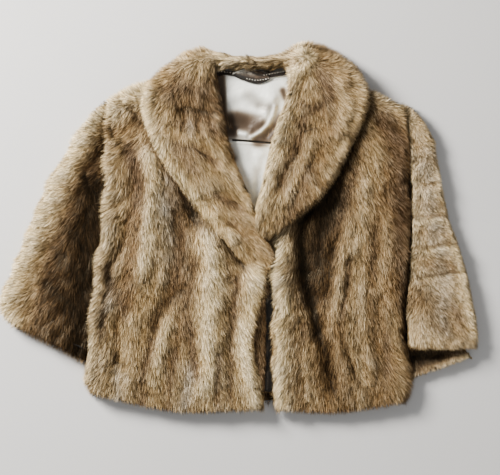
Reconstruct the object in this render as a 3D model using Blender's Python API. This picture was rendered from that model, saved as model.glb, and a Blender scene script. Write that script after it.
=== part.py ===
"""Fur cape jacket with a shawl collar and wide sleeves, laid flat on its back.

The jacket lies on the plane Z = 0 with its hem towards -Y and its collar towards +Y.
X and Y run across and along the garment and Z is up from the surface it lies on.
Right and left are the wearer's, so the right front lies at -X.

Every panel is a grid lofted through a short table of rows.
Its upper points carry the folds and pelt ridges, and its lower points are plain.
"""
import math
from typing import Callable, NamedTuple

import bmesh
import bpy
from mathutils import Vector

# Driving sizes, in metres.
MM = 0.001
SEAM_GAP = 0.0003
CUT_GAP = 0.0004
BACK_THICKNESS = 0.010
LINING_THICKNESS = 0.001
FRONT_THICKNESS = 0.0145
FRONT_UNDER_COLLAR = 0.0125
SIDE_EDGE_HEIGHT = 0.012
HEM_EDGE_HEIGHT = 0.0045
SLEEVE_THICKNESS = 0.0125
SLEEVE_SEAM_HEIGHT = 0.0055
COLLAR_THICKNESS = 0.021
COLLAR_BACK_HEIGHT = 0.034
COLLAR_ROLL_EDGE = 0.011
COLLAR_FALL_EDGE = 0.005
COLLAR_UNDERLAP_TOP = 0.0335
COLLAR_OVERLAP_BASE = 0.0345
COLLAR_ROLL_ROUND = 0.030
COLLAR_FALL_ROUND = 0.034
COLLAR_END_ROUND = 0.020
COLLAR_OVERLAP_RISE = 0.004
# Along the collar from the centre back: where the low back strip starts to rise, and is full.
COLLAR_BACK_REACH = (0.03, 0.10)
COLLAR_BACK_BASE = 0.012
# Distance from the centre back at which the roll edge comes down on the lining.
COLLAR_ROLL_START = 0.05
LABEL_LENGTH = 0.060
LABEL_HEIGHT = 0.021
LABEL_THICKNESS = 0.0014
LABEL_CENTRE = (0.0185, 0.2395)
LABEL_ARC_STEPS = 12
BRAID_THICKNESS = 0.0022
BRAID_ROUND = 0.002
FACING_THICKNESS = 0.006
FACING_WIDTH = 0.022
FACING_ROUND = 0.006
# Width and start of the room that the right front leaves for its facing.
FACING_ROOM = 0.036
FACING_ROOM_Y = (-0.088, -0.058)
SLEEVE_SEAM_SLOPE = 0.026
SLEEVE_HEM_SHARE = 0.35
MOUTH_SLOPE = 0.025
# Height of a flat layer's border as a share of its thickness.
EDGE_SHARE = 0.65

# A rolled edge comes down to the surface over ROLL_WIDTH; the layer below starts at ROLL_CLEAR.
ROLL_WIDTH = 0.008
ROLL_CLEAR = 0.014
# Distances from a border at which every panel has a line of points.
EDGE_STEPS = (0.0, 0.004, ROLL_WIDTH, ROLL_CLEAR)
TOUCH = 0.000001
# Distance by which a collar half stays high past the edge of the panel it lies on.
LEDGE_MARGIN = 0.013
# Distance by which a front stays low and plain past the edge of the collar half on it.
COVER_MARGIN = 0.018
NECKLINE_MARGIN = 0.001
# Room left at the borders of the lower sleeve panels, whose lines are further apart.
UNDER_SEAM_GAP = 0.0007
UNDER_FOLD_GAP = 0.0028

LINING_BASE = BACK_THICKNESS + SEAM_GAP
LINING_TOP = LINING_BASE + LINING_THICKNESS
FRONT_BASE = LINING_TOP + SEAM_GAP
FRONT_TOP = FRONT_BASE + FRONT_THICKNESS
COVERED_TOP = FRONT_BASE + FRONT_UNDER_COLLAR
COLLAR_BASE = COVERED_TOP + 2 * SEAM_GAP


class FrontRow(NamedTuple):
    """One line across a front, in millimetres: centre-front edge, middle and side edge."""

    centre: tuple
    middle: tuple
    side: tuple


class BackRow(NamedTuple):
    """One line across the back, in millimetres: heights at the sides, two points between them."""

    right_y: float
    neck_right: tuple
    neck_left: tuple
    left_y: float


class SleeveRow(NamedTuple):
    """One line across a sleeve, in millimetres: height at the armhole and the outer fold."""

    seam_y: float
    fold: tuple


class CollarRow(NamedTuple):
    """One line across a collar half, in millimetres: roll edge at the neck and free outer edge."""

    roll: tuple
    fall: tuple


class StripRow(NamedTuple):
    """One line across a narrow strip, in millimetres: its two borders."""

    right: tuple
    left: tuple


class Fold(NamedTuple):
    """A ridge (rise above 0) or trough (below 0) along a path, all in millimetres."""

    path: tuple
    rise: float
    width: float


FRONT_RIGHT_ROWS = (
    FrontRow(centre=(-49, 248), middle=(-163, 227), side=(-206, 199)),
    FrontRow(centre=(-43, 201), middle=(-138, 188), side=(-210, 166)),
    FrontRow(centre=(-38, 154), middle=(-125, 143), side=(-211, 122)),
    FrontRow(centre=(-25, 91), middle=(-115, 82), side=(-209, 68)),
    FrontRow(centre=(8, 22), middle=(-103, 16), side=(-214, 5)),
    FrontRow(centre=(41, -53), middle=(-93, -57), side=(-223, -63)),
    FrontRow(centre=(33, -137), middle=(-100, -141), side=(-232, -137)),
    FrontRow(centre=(24, -188), middle=(-103, -201), side=(-239, -199)),
    FrontRow(centre=(35, -246), middle=(-104, -250), side=(-244, -232)),
    FrontRow(centre=(38, -281), middle=(-92, -287), side=(-236, -257)),
)

FRONT_LEFT_ROWS = (
    FrontRow(centre=(98, 254), middle=(181, 226), side=(257, 192)),
    FrontRow(centre=(94, 204), middle=(177, 182), side=(265, 154)),
    FrontRow(centre=(88, 154), middle=(173, 138), side=(269, 113)),
    FrontRow(centre=(73, 91), middle=(169, 78), side=(272, 66)),
    FrontRow(centre=(58, 20), middle=(162, 9), side=(272, 9)),
    FrontRow(centre=(58, -53), middle=(158, -63), side=(269, -63)),
    FrontRow(centre=(57, -113), middle=(158, -122), side=(264, -116)),
    FrontRow(centre=(54, -176), middle=(158, -184), side=(264, -176)),
    FrontRow(centre=(56, -231), middle=(162, -239), side=(269, -232)),
    FrontRow(centre=(59, -283), middle=(160, -288), side=(263, -270)),
)

BACK_ROWS = (
    BackRow(right_y=196, neck_right=(-36, 242), neck_left=(88, 243.5), left_y=190),
    BackRow(right_y=155, neck_right=(-38, 165), neck_left=(92, 165), left_y=150),
    BackRow(right_y=68, neck_right=(-40, 75), neck_left=(95, 75), left_y=66),
    BackRow(right_y=-15, neck_right=(-42, -15), neck_left=(98, -15), left_y=-15),
    BackRow(right_y=-100, neck_right=(-44, -105), neck_left=(98, -105), left_y=-100),
    BackRow(right_y=-190, neck_right=(-46, -195), neck_left=(98, -195), left_y=-190),
    BackRow(right_y=-250, neck_right=(-48, -276), neck_left=(98, -276), left_y=-250),
)

SLEEVE_RIGHT_ROWS = (
    SleeveRow(seam_y=198, fold=(-219, 190)),
    SleeveRow(seam_y=166, fold=(-242, 166)),
    SleeveRow(seam_y=124, fold=(-266, 128)),
    SleeveRow(seam_y=68, fold=(-292, 88)),
    SleeveRow(seam_y=5, fold=(-316, 38)),
    SleeveRow(seam_y=-53, fold=(-337, -17)),
    SleeveRow(seam_y=-121, fold=(-360, -76)),
    SleeveRow(seam_y=-172, fold=(-374, -117)),
    SleeveRow(seam_y=-202, fold=(-366, -141)),
)

SLEEVE_LEFT_ROWS = (
    SleeveRow(seam_y=191, fold=(272, 185)),
    SleeveRow(seam_y=154, fold=(300, 153)),
    SleeveRow(seam_y=113, fold=(309, 120)),
    SleeveRow(seam_y=66, fold=(318, 66)),
    SleeveRow(seam_y=9, fold=(331, 12)),
    SleeveRow(seam_y=-60, fold=(353, -52)),
    SleeveRow(seam_y=-112, fold=(365, -108)),
    SleeveRow(seam_y=-158, fold=(374, -160)),
    SleeveRow(seam_y=-184, fold=(372, -188)),
)

# Heights of the two borders of each lower sleeve panel, whose hem reaches past the upper one's.
SLEEVE_RIGHT_UNDER_HEIGHTS = ((140, 142), (40, 52), (-30, -5), (-100, -60), (-160, -105), (-212, -152))
SLEEVE_LEFT_UNDER_HEIGHTS = ((138, 140), (40, 42), (-30, -26), (-100, -90), (-170, -158), (-238, -204))

COLLAR_RIGHT_ROWS = (
    CollarRow(roll=(20.5, 252), fall=(20.5, 269)),
    CollarRow(roll=(-8, 252), fall=(-7, 272)),
    CollarRow(roll=(-30, 252), fall=(-38, 279)),
    CollarRow(roll=(-35, 243), fall=(-62, 282)),
    CollarRow(roll=(-34, 228), fall=(-92, 269)),
    CollarRow(roll=(-32, 210), fall=(-123, 247)),
    CollarRow(roll=(-29, 191), fall=(-146, 221)),
    CollarRow(roll=(-26, 169), fall=(-149, 190)),
    CollarRow(roll=(-20, 143), fall=(-141, 157)),
    CollarRow(roll=(-11, 110), fall=(-122, 113)),
    CollarRow(roll=(3, 75), fall=(-88, 64)),
    CollarRow(roll=(16, 43), fall=(-52, 14)),
    CollarRow(roll=(27, 12), fall=(-26, -15)),
    CollarRow(roll=(39, -10), fall=(0, -45)),
    CollarRow(roll=(46, -26), fall=(16, -62)),
    CollarRow(roll=(47, -44), fall=(32, -68)),
)

COLLAR_LEFT_ROWS = (
    CollarRow(roll=(21.1, 252), fall=(21.1, 269)),
    CollarRow(roll=(48, 252), fall=(46, 272)),
    CollarRow(roll=(70, 252), fall=(70, 278)),
    CollarRow(roll=(78, 244), fall=(98, 291)),
    CollarRow(roll=(79, 228), fall=(127, 286)),
    CollarRow(roll=(77, 211), fall=(156, 270)),
    CollarRow(roll=(72, 193), fall=(182, 248)),
    CollarRow(roll=(65, 173), fall=(199, 217)),
    CollarRow(roll=(57, 151), fall=(194, 181)),
    CollarRow(roll=(49, 122), fall=(172, 134)),
    CollarRow(roll=(42, 91), fall=(154, 94)),
    CollarRow(roll=(35, 60), fall=(128, 56)),
    CollarRow(roll=(28, 31), fall=(95, 27)),
    CollarRow(roll=(27, 9), fall=(64, 0)),
    CollarRow(roll=(35, -4), fall=(52, -10)),
)

# The last rows of each collar half lie at the crossing on the chest.
COLLAR_RIGHT_CROSSING_Y = 0.050
COLLAR_LEFT_CROSSING_Y = 0.045
CROSSING_SLOPE = 0.045

LINING_ROWS = (
    StripRow(right=(-30, 245), left=(71, 245)),
    StripRow(right=(-38, 235), left=(82, 235)),
    StripRow(right=(-44, 221), left=(93, 221)),
    StripRow(right=(-42, 206), left=(91, 206)),
    StripRow(right=(-40, 191), left=(88, 191)),
    StripRow(right=(-38, 176), left=(84, 176)),
    StripRow(right=(-35, 161), left=(80, 161)),
    StripRow(right=(-33, 150), left=(77, 146)),
    StripRow(right=(-31, 140), left=(74, 134)),
    StripRow(right=(-30, 136), left=(73, 130)),
    StripRow(right=(-26, 122), left=(70, 118)),
    StripRow(right=(-20, 104), left=(67, 104)),
    StripRow(right=(-13, 88), left=(65, 88)),
    StripRow(right=(-5, 70), left=(63, 70)),
    StripRow(right=(3, 50), left=(61, 50)),
    StripRow(right=(10, 20), left=(62, 20)),
    StripRow(right=(16, -20), left=(66, -20)),
    StripRow(right=(16, -80), left=(68, -80)),
    StripRow(right=(12, -150), left=(66, -150)),
    StripRow(right=(14, -210), left=(66, -210)),
    StripRow(right=(20, -262), left=(68, -262)),
)

BRAID_ROWS = (
    StripRow(right=(-33, 246.5), left=(-33, 241.5)),
    StripRow(right=(-16, 246), left=(-16, 240.5)),
    StripRow(right=(4, 244), left=(4, 238.5)),
    StripRow(right=(24, 243), left=(24, 237.5)),
    StripRow(right=(44, 243.5), left=(44, 238)),
    StripRow(right=(62, 244.5), left=(62, 239)),
    StripRow(right=(75, 245.5), left=(75, 240)),
)

FACING_EDGE = ((40, -104), (41, -135), (41, -165), (41, -195), (40, -225), (39, -258))

FRONT_RIGHT_FOLDS = (
    Fold(path=((-212, 120), (-222, -60), (-230, -200)), rise=3.0, width=13),
    Fold(path=((-167, 80), (-189, -28)), rise=-5.0, width=9),
    Fold(path=((-191, -138), (-191, -225)), rise=-5.0, width=8),
    Fold(path=((-148, 111), (-145, 66), (-156, -3), (-160, -90)), rise=5.0, width=15),
    Fold(path=((-97, 25), (-106, -70), (-119, -150)), rise=-4.0, width=15),
    Fold(path=((-57, -3), (-42, -60), (-48, -237)), rise=5.0, width=15),
    Fold(path=((-92, 50), (-64, -10), (-16, -30)), rise=-4.0, width=11),
    Fold(path=((-12, -19), (-8, -120), (-12, -239)), rise=-6.0, width=9),
    Fold(path=((14, -60), (8, -237)), rise=3.5, width=13),
)

FRONT_LEFT_FOLDS = (
    Fold(path=((76, -40), (75, -246)), rise=3.5, width=12),
    Fold(path=((104, 10), (110, -50), (110, -113)), rise=-8.0, width=14),
    Fold(path=((110, -113), (144, -184), (150, -240)), rise=-5.0, width=9),
    Fold(path=((136, 60), (146, 10), (150, -110)), rise=-3.0, width=9),
    Fold(path=((166, -40), (166, -246)), rise=4.0, width=12),
    Fold(path=((183, 10), (183, -246)), rise=-3.0, width=8),
    Fold(path=((202, 20), (202, -246)), rise=4.0, width=12),
    Fold(path=((221, 60), (221, -246)), rise=-3.0, width=8),
    Fold(path=((241, 90), (241, -246)), rise=4.0, width=13),
)

SLEEVE_RIGHT_FOLDS = (
    Fold(path=((-276, 112), (-218, 66)), rise=-3.0, width=8),
    Fold(path=((-300, 76), (-219, 18)), rise=-4.0, width=9),
    Fold(path=((-322, 22), (-226, -45)), rise=-4.0, width=9),
    Fold(path=((-346, -24), (-232, -103)), rise=-4.0, width=9),
    Fold(path=((-362, -68), (-238, -150)), rise=-4.0, width=9),
    Fold(path=((-222, 100), (-232, -60), (-244, -190)), rise=-3.0, width=14),
)

SLEEVE_LEFT_FOLDS = (
    Fold(path=((282, 76), (312, 74)), rise=-3.5, width=8),
    Fold(path=((282, 20), (324, 20)), rise=-4.0, width=8),
    Fold(path=((282, -25), (336, -24)), rise=-5.0, width=8),
    Fold(path=((280, -72), (346, -70)), rise=-5.0, width=8),
    Fold(path=((278, -122), (354, -124)), rise=-3.5, width=8),
    Fold(path=((278, 110), (282, 0), (278, -150)), rise=-2.5, width=9),
)

COLLAR_RIGHT_FOLDS = (
    Fold(path=((-92, 195), (-52, 184)), rise=-6.0, width=10),
    Fold(path=((-128, 214), (-92, 240)), rise=2.0, width=16),
)

COLLAR_LEFT_FOLDS = (
    Fold(path=((116, 164), (88, 158)), rise=-4.0, width=9),
    Fold(path=((150, 240), (118, 200)), rise=2.0, width=16),
)

LINING_FOLDS = (
    Fold(path=((-20, 196), (-4, 176), (4, 150)), rise=6.0, width=9),
    Fold(path=((-6, 196), (14, 186), (30, 180)), rise=-3.0, width=8),
    Fold(path=((52, 206), (42, 180), (16, 148)), rise=7.0, width=8),
    Fold(path=((60, 232), (30, 212), (-10, 214)), rise=3.0, width=10),
    Fold(path=((-22, 145), (14, 142), (52, 139)), rise=3.5, width=5),
    Fold(path=((0, 128), (14, 100), (20, 60)), rise=4.0, width=9),
    Fold(path=((36, 126), (28, 96)), rise=3.0, width=7),
)

# Each sleeve's mouth: the lifted stretch of the upper hem and how far it is lifted.
MOUTH_LEFT = Fold(path=((276, -188), (322, -198)), rise=12.0, width=30)
MOUTH_RIGHT = Fold(path=((-262, -198), (-300, -176)), rise=7.0, width=30)

# In millimetres: the strip beside the collar that stays plain, and where the creases start and end.
CREASE_CLEAR = 5.0
CREASE_SLOPE = 10.0
CREASE_TOP_Y = (222.0, 232.0)
CREASE_LOWEST_Y = 40.0

SCALLOP_DEPTH = 0.0035
PELTS_PER_SLEEVE = 8
SLEEVE_ROWS = 4 * PELTS_PER_SLEEVE


def point(pair: tuple) -> Vector:
    """Turn a pair in millimetres into a 2-D vector in metres."""
    return Vector(pair) * MM


def spline(points: list, t: float) -> Vector:
    """Give the point at t, 0 to 1, on a Catmull-Rom curve through the points."""
    spans = len(points) - 1
    place = min(max(t, 0.0), 1.0) * spans
    span = min(int(place), spans - 1)
    f = place - span
    before = points[span - 1] if span else 2 * points[0] - points[1]
    start, end = points[span], points[span + 1]
    after = points[span + 2] if span + 2 <= spans else 2 * end - start
    return 0.5 * (
        2 * start
        + (end - before) * f
        + (2 * before - 5 * start + 4 * end - after) * f ** 2
        + (3 * start - before - 3 * end + after) * f ** 3
    )


def loft(rows: list, u: float, v: float) -> Vector:
    """Give the point at u along a row and v down the rows of a table of 2-D points."""
    return spline([spline(row, u) for row in rows], v)


def border_x(rows: tuple, column: int, y: float) -> float:
    """Give the x of one column of a table's rows at height y, all in millimetres."""
    line = [Vector(row[column]) for row in rows]
    samples = [spline(line, step / 200) for step in range(201)]
    if y >= samples[0].y:
        return samples[0].x
    for upper, lower in zip(samples, samples[1:]):
        if lower.y <= y <= upper.y:
            share = (upper.y - y) / max(upper.y - lower.y, 1e-9)
            return upper.x + (lower.x - upper.x) * share
    return samples[-1].x


def rounded(distance: float, radius: float) -> float:
    """Rise from 0 at a border to 1 at the radius inside it, along a quarter circle."""
    reach = min(max(distance / radius, 0.0), 1.0)
    return math.sqrt(1.0 - (1.0 - reach) ** 2)


def eased(value: float, low: float, high: float) -> float:
    """Rise smoothly from 0 at low to 1 at high."""
    share = min(max((value - low) / (high - low), 0.0), 1.0)
    return share * share * (3.0 - 2.0 * share)


def distance_to_path(place: Vector, path: tuple) -> float:
    """Give the distance in metres from a place to a path of points in millimetres."""
    nearest = math.inf
    for start, end in zip(path, path[1:]):
        a, b = point(start), point(end)
        along = (place - a).dot(b - a) / max((b - a).length_squared, 1e-12)
        foot = a + (b - a) * min(max(along, 0.0), 1.0)
        nearest = min(nearest, (place - foot).length)
    return nearest


def lift(fold: Fold, place: Vector) -> float:
    """Give one fold's height in metres at a place."""
    return fold.rise * MM * math.exp(-(distance_to_path(place, fold.path) / (fold.width * MM)) ** 2)


def relief(folds: tuple, place: Vector) -> float:
    """Add up the heights of all folds at a place."""
    return sum(lift(fold, place) for fold in folds)


def inside(outline: list, place: Vector, margin: float) -> bool:
    """Tell whether a place lies in an outline grown by the margin."""
    crossings = 0
    for a, b in zip(outline, outline[1:] + outline[:1]):
        along = (place - a).dot(b - a) / max((b - a).length_squared, 1e-12)
        foot = a + (b - a) * min(max(along, 0.0), 1.0)
        if (place - foot).length <= margin:
            return True
        if (a.y > place.y) != (b.y > place.y):
            crossing_x = a.x + (place.y - a.y) * (b.x - a.x) / (b.y - a.y)
            crossings += crossing_x > place.x
    return crossings % 2 == 1


class Look(NamedTuple):
    """A Principled surface: its colour and roughness."""

    colour: tuple
    roughness: float


LOOKS = {
    "tan_fur": Look(colour=(0.42, 0.29, 0.17), roughness=0.75),
    "collar_fur": Look(colour=(0.50, 0.36, 0.22), roughness=0.75),
    "sleeve_fur": Look(colour=(0.36, 0.24, 0.14), roughness=0.75),
    "facing_fur": Look(colour=(0.20, 0.12, 0.07), roughness=0.8),
    "satin_lining": Look(colour=(0.72, 0.74, 0.70), roughness=0.3),
    "black_braid": Look(colour=(0.02, 0.02, 0.02), roughness=0.6),
    "label_cloth": Look(colour=(0.05, 0.045, 0.04), roughness=0.5),
}


class Spot(NamedTuple):
    """A place on a panel with its distances from the four borders, in metres."""

    place: Vector
    first: float
    last: float
    top: float
    hem: float


def stepped(step: int, steps: int, length: float) -> float:
    """Give a grid line's share of a length, with lines at EDGE_STEPS from both ends."""
    ends = len(EDGE_STEPS) - 1
    squeeze = min(1.0, 0.42 * length / EDGE_STEPS[-1])
    if step <= ends:
        return EDGE_STEPS[step] * squeeze / length
    if step >= steps - ends:
        return 1.0 - EDGE_STEPS[steps - step] * squeeze / length
    start = EDGE_STEPS[-1] * squeeze / length
    return start + (1.0 - 2.0 * start) * (step - ends) / (steps - 2 * ends)


def outline_of(rows: list, samples: int = 24) -> list:
    """Give the closed outline of a table's rows as a list of 2-D points."""
    shares = [step / samples for step in range(samples)]
    return (
        [loft(rows, share, 0.0) for share in shares]
        + [loft(rows, 1.0, share) for share in shares]
        + [loft(rows, 1.0 - share, 1.0) for share in shares]
        + [loft(rows, 0.0, 1.0 - share) for share in shares]
    )


def material(name: str) -> bpy.types.Material:
    """Make the Principled material of the given name in LOOKS."""
    made = bpy.data.materials.new(name)
    made.use_nodes = True
    surface = made.node_tree.nodes["Principled BSDF"]
    surface.inputs["Base Color"].default_value = (*LOOKS[name].colour, 1.0)
    surface.inputs["Roughness"].default_value = LOOKS[name].roughness
    return made


def flat_height(spot: Spot, thickness: float, radius: float) -> float:
    """Height of a flat layer above its base, rounded off towards its borders."""
    return thickness * (EDGE_SHARE + (1.0 - EDGE_SHARE) * rounded(min(spot[1:]), radius))


def add_object(name: str, mesh: bpy.types.Mesh, look: bpy.types.Material, smooth: bool = True) -> bpy.types.Object:
    """Put a mesh in the garment's collection as a named object."""
    mesh.materials.clear()
    mesh.materials.append(look)
    if smooth:
        mesh.shade_smooth()
    made = bpy.data.objects.new(name, mesh)
    bpy.data.collections["fur_cape_jacket"].objects.link(made)
    return made


def panel(
    name: str,
    rows: list,
    columns: int,
    lines: int,
    upper: Callable[[Spot], float],
    lower: Callable[[Spot], float],
    look: bpy.types.Material,
    even: bool = False,
) -> bpy.types.Object:
    """Make a closed panel from a grid lofted through rows of 2-D points.

    Args:
        name: The object's name.
        rows: Table rows of 2-D points in metres, from the top of the panel to its hem.
        columns: Grid steps along a row.
        lines: Grid steps down the rows.
        upper: Height of the upper face at a spot.
        lower: Height of the lower face at a spot.
        look: The panel's material.
        even: Whether lines down the rows are even, so that each row of the table has one.

    Returns:
        The panel's object.
    """
    bm = bmesh.new()
    bmesh.ops.create_grid(bm, x_segments=columns, y_segments=lines, size=0.5)
    lengths = [(loft(rows, u, 1.0) - loft(rows, u, 0.0)).length for u in (0.0, 0.5, 1.0)]
    length = sum(lengths) / len(lengths)
    spots = []
    for vertex in bm.verts:
        line = round((0.5 - vertex.co.y) * lines)
        v = line / lines if even else stepped(line, lines, length)
        width = (loft(rows, 1.0, v) - loft(rows, 0.0, v)).length
        u = stepped(round((vertex.co.x + 0.5) * columns), columns, width)
        spots.append(Spot(loft(rows, u, v), u * width, (1.0 - u) * width, v * length, (1.0 - v) * length))
    top_faces = list(bm.faces)
    top_vertices = list(bm.verts)
    added = bmesh.ops.extrude_face_region(bm, geom=top_faces)["geom"]
    lower_vertices = [item for item in added if isinstance(item, bmesh.types.BMVert)]
    matches = {(round(v.co.x, 5), round(v.co.y, 5)): spot for v, spot in zip(top_vertices, spots)}
    for vertex in lower_vertices:
        spot = matches[(round(vertex.co.x, 5), round(vertex.co.y, 5))]
        vertex.co = (*spot.place, lower(spot))
    for vertex, spot in zip(top_vertices, spots):
        vertex.co = (*spot.place, upper(spot))
    bmesh.ops.recalc_face_normals(bm, faces=bm.faces)
    mesh = bpy.data.meshes.new(name)
    bm.to_mesh(mesh)
    bm.free()
    return add_object(name, mesh, look)


def front_rows(table: tuple) -> list:
    """Turn a front's table into rows of 2-D points, from the centre-front edge to the side."""
    return [[point(row.centre), point(row.middle), point(row.side)] for row in table]


def back_rows() -> list:
    """Rows of the back, whose sides lie inside the rolled side edges of the fronts."""
    inset = (ROLL_CLEAR + CUT_GAP) / MM
    rows = []
    for row in BACK_ROWS:
        right = (border_x(FRONT_RIGHT_ROWS, 2, row.right_y) + inset, row.right_y)
        left = (border_x(FRONT_LEFT_ROWS, 2, row.left_y) - inset, row.left_y)
        rows.append([point(right), point(row.neck_right), point(row.neck_left), point(left)])
    return rows


def sleeve_rows(table: tuple, front: tuple, side: int) -> list:
    """Rows of an upper sleeve panel, from the front's side edge to the scalloped outer fold."""
    heights = [Vector((row.seam_y, 0.0)) for row in table]
    folds = [point(row.fold) for row in table]
    rows = []
    for step in range(SLEEVE_ROWS + 1):
        v = step / SLEEVE_ROWS
        seam_y = spline(heights, v).x
        seam = border_x(front, 2, seam_y) + side * CUT_GAP / MM
        bulge = SCALLOP_DEPTH * (abs(math.sin(math.pi * v * PELTS_PER_SLEEVE)) - 0.5)
        rows.append([point((seam, seam_y)), spline(folds, v) + Vector((side * bulge, 0.0))])
    return rows


def under_sleeve_rows(heights: tuple, upper_rows: tuple, front: tuple, side: int) -> list:
    """Rows of a lower sleeve panel, which ends inside the rolled outer fold of the upper one."""
    folds = [(row.fold,) for row in upper_rows]
    inset = (ROLL_CLEAR + UNDER_FOLD_GAP) / MM
    borders = [Vector(pair) for pair in heights]
    rows = []
    hem_y = upper_rows[-1].fold[1]
    for step in range(SLEEVE_ROWS + 1):
        seam_y, fold_y = spline(borders, step / SLEEVE_ROWS)
        seam = border_x(front, 2, seam_y) + side * UNDER_SEAM_GAP / MM
        past_hem = eased(hem_y - fold_y, 2.0, 16.0)
        fold = border_x(folds, 0, fold_y) - side * inset * (1.0 - 0.8 * past_hem)
        rows.append([point((seam, seam_y)), point((fold, fold_y))])
    return rows


def build_back(look: bpy.types.Material) -> None:
    """Make the back: fur side down and flat on the surface."""
    panel(
        "back",
        back_rows(),
        columns=14,
        lines=16,
        upper=lambda spot: flat_height(spot, BACK_THICKNESS, ROLL_CLEAR),
        lower=lambda spot: 0.0,
        look=look,
    )


def build_front(name: str, table: tuple, folds: tuple, collar: list, faced: bool, look: bpy.types.Material) -> None:
    """Make one front: plain lining side, folded fur side, and a side edge rolled to the surface.

    Args:
        name: The object's name.
        table: The front's rows.
        folds: Its ridges and troughs.
        collar: Outline of the collar half that lies on it.
        faced: Whether its centre-front edge has room for a facing under it.
        look: Its material.
    """

    def upper(spot: Spot) -> float:
        side = rounded(spot.last, ROLL_CLEAR)
        ends = rounded(min(spot.first, spot.hem, spot.top), ROLL_CLEAR)
        free = 0.0 if inside(collar, spot.place, COVER_MARGIN) else 1.0
        full = COVERED_TOP + free * (FRONT_TOP - COVERED_TOP + relief(folds, spot.place) * min(side, ends))
        low = FRONT_BASE + HEM_EDGE_HEIGHT + room(spot)
        height = low + (full - low) * ends
        return SIDE_EDGE_HEIGHT + (height - SIDE_EDGE_HEIGHT) * side

    def room(spot: Spot) -> float:
        if not faced or spot.first > FACING_ROOM:
            return 0.0
        return (FACING_THICKNESS + SEAM_GAP) * (1.0 - eased(spot.place.y, *FACING_ROOM_Y))

    def lower(spot: Spot) -> float:
        if spot.last <= ROLL_WIDTH + TOUCH:
            return 0.0
        return FRONT_BASE + room(spot)

    panel(name, front_rows(table), columns=18, lines=34, upper=upper, lower=lower, look=look)


def build_sleeve(name: str, rows: list, folds: tuple, mouth: Fold, look: bpy.types.Material) -> None:
    """Make one upper sleeve panel: rolled to the surface at its outer fold and open at its hem."""

    def raised(spot: Spot) -> float:
        return lift(mouth, spot.place) * rounded(min(spot.first, spot.last), MOUTH_SLOPE)

    def upper(spot: Spot) -> float:
        fold = rounded(spot.last, ROLL_CLEAR)
        ends = rounded(min(spot.hem, spot.top), ROLL_CLEAR)
        seam = eased(spot.first, 0.0, SLEEVE_SEAM_SLOPE)
        inner = min(seam, SLEEVE_HEM_SHARE + (1.0 - SLEEVE_HEM_SHARE) * ends)
        thick = SLEEVE_SEAM_HEIGHT + (SLEEVE_THICKNESS - SLEEVE_SEAM_HEIGHT) * inner
        height = FRONT_BASE + thick + raised(spot) + relief(folds, spot.place) * min(seam, ends, fold)
        return SIDE_EDGE_HEIGHT + (height - SIDE_EDGE_HEIGHT) * fold

    def lower(spot: Spot) -> float:
        if spot.last <= ROLL_WIDTH + TOUCH:
            return 0.0
        return FRONT_BASE + raised(spot)

    panel(name, rows, columns=12, lines=24, upper=upper, lower=lower, look=look)


def build_under_sleeve(name: str, rows: list, look: bpy.types.Material) -> None:
    """Make one lower sleeve panel, flat on the surface under the upper one."""
    panel(
        name,
        rows,
        columns=7,
        lines=20,
        upper=lambda spot: flat_height(spot, BACK_THICKNESS, ROLL_CLEAR),
        lower=lambda spot: 0.0,
        look=look,
    )


def build_collar(
    name: str,
    rows: list,
    folds: tuple,
    front: list,
    back: list,
    neck: tuple,
    crossing_y: float,
    on_top: bool,
    look: bpy.types.Material,
) -> None:
    """Make one collar half, from the centre back to its end on the chest.

    Args:
        name: The object's name.
        rows: Rows from the centre back down, each from the roll edge to the free edge.
        folds: Its ridges and troughs.
        front: Outline of the front that it lies on.
        back: Outline of the back.
        neck: The x of the two ends of the back's neckline.
        crossing_y: Height above which it is clear of the other half on the chest.
        on_top: Whether it lies over the other half there.
        look: Its material.
    """

    def crossing(spot: Spot) -> float:
        return 1.0 - eased(spot.place.y, crossing_y, crossing_y + CROSSING_SLOPE)

    def support(spot: Spot) -> float:
        place = spot.place
        if on_top and place.y < crossing_y + CROSSING_SLOPE:
            return COLLAR_BASE + (COLLAR_OVERLAP_BASE - COLLAR_BASE) * crossing(spot)
        rolled = spot.first <= EDGE_STEPS[1] + TOUCH and spot.top > COLLAR_ROLL_START
        if rolled and place.y > crossing_y:
            return LINING_TOP + 2 * SEAM_GAP
        if inside(front, place, LEDGE_MARGIN):
            return COLLAR_BASE
        at_neck = neck[0] < place.x < neck[1]
        if inside(back, place, NECKLINE_MARGIN if at_neck else LEDGE_MARGIN):
            return LINING_TOP + 2 * SEAM_GAP
        return 0.0

    def upper(spot: Spot) -> float:
        back_share = 1.0 - eased(spot.top, *COLLAR_BACK_REACH)
        full = COLLAR_BASE + COLLAR_THICKNESS
        full += (COLLAR_BACK_HEIGHT - full) * back_share
        if on_top:
            full += COLLAR_OVERLAP_RISE * crossing(spot)
        else:
            full += (COLLAR_UNDERLAP_TOP - full) * crossing(spot)
        roll = rounded(spot.first, COLLAR_ROLL_ROUND)
        fall = rounded(spot.last, COLLAR_FALL_ROUND)
        crest = min(roll, fall, rounded(spot.hem, COLLAR_END_ROUND))
        edge = COLLAR_ROLL_EDGE + (COLLAR_FALL_EDGE - COLLAR_ROLL_EDGE) * eased(spot.first, 0.0, COLLAR_ROLL_ROUND)
        base = max(support(spot), COLLAR_BACK_BASE if back_share else COLLAR_BASE)
        low = min(base + edge, full)
        return low + (full - low + relief(folds, spot.place)) * crest

    panel(name, rows, columns=11, lines=34, upper=upper, lower=support, look=look)


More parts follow.
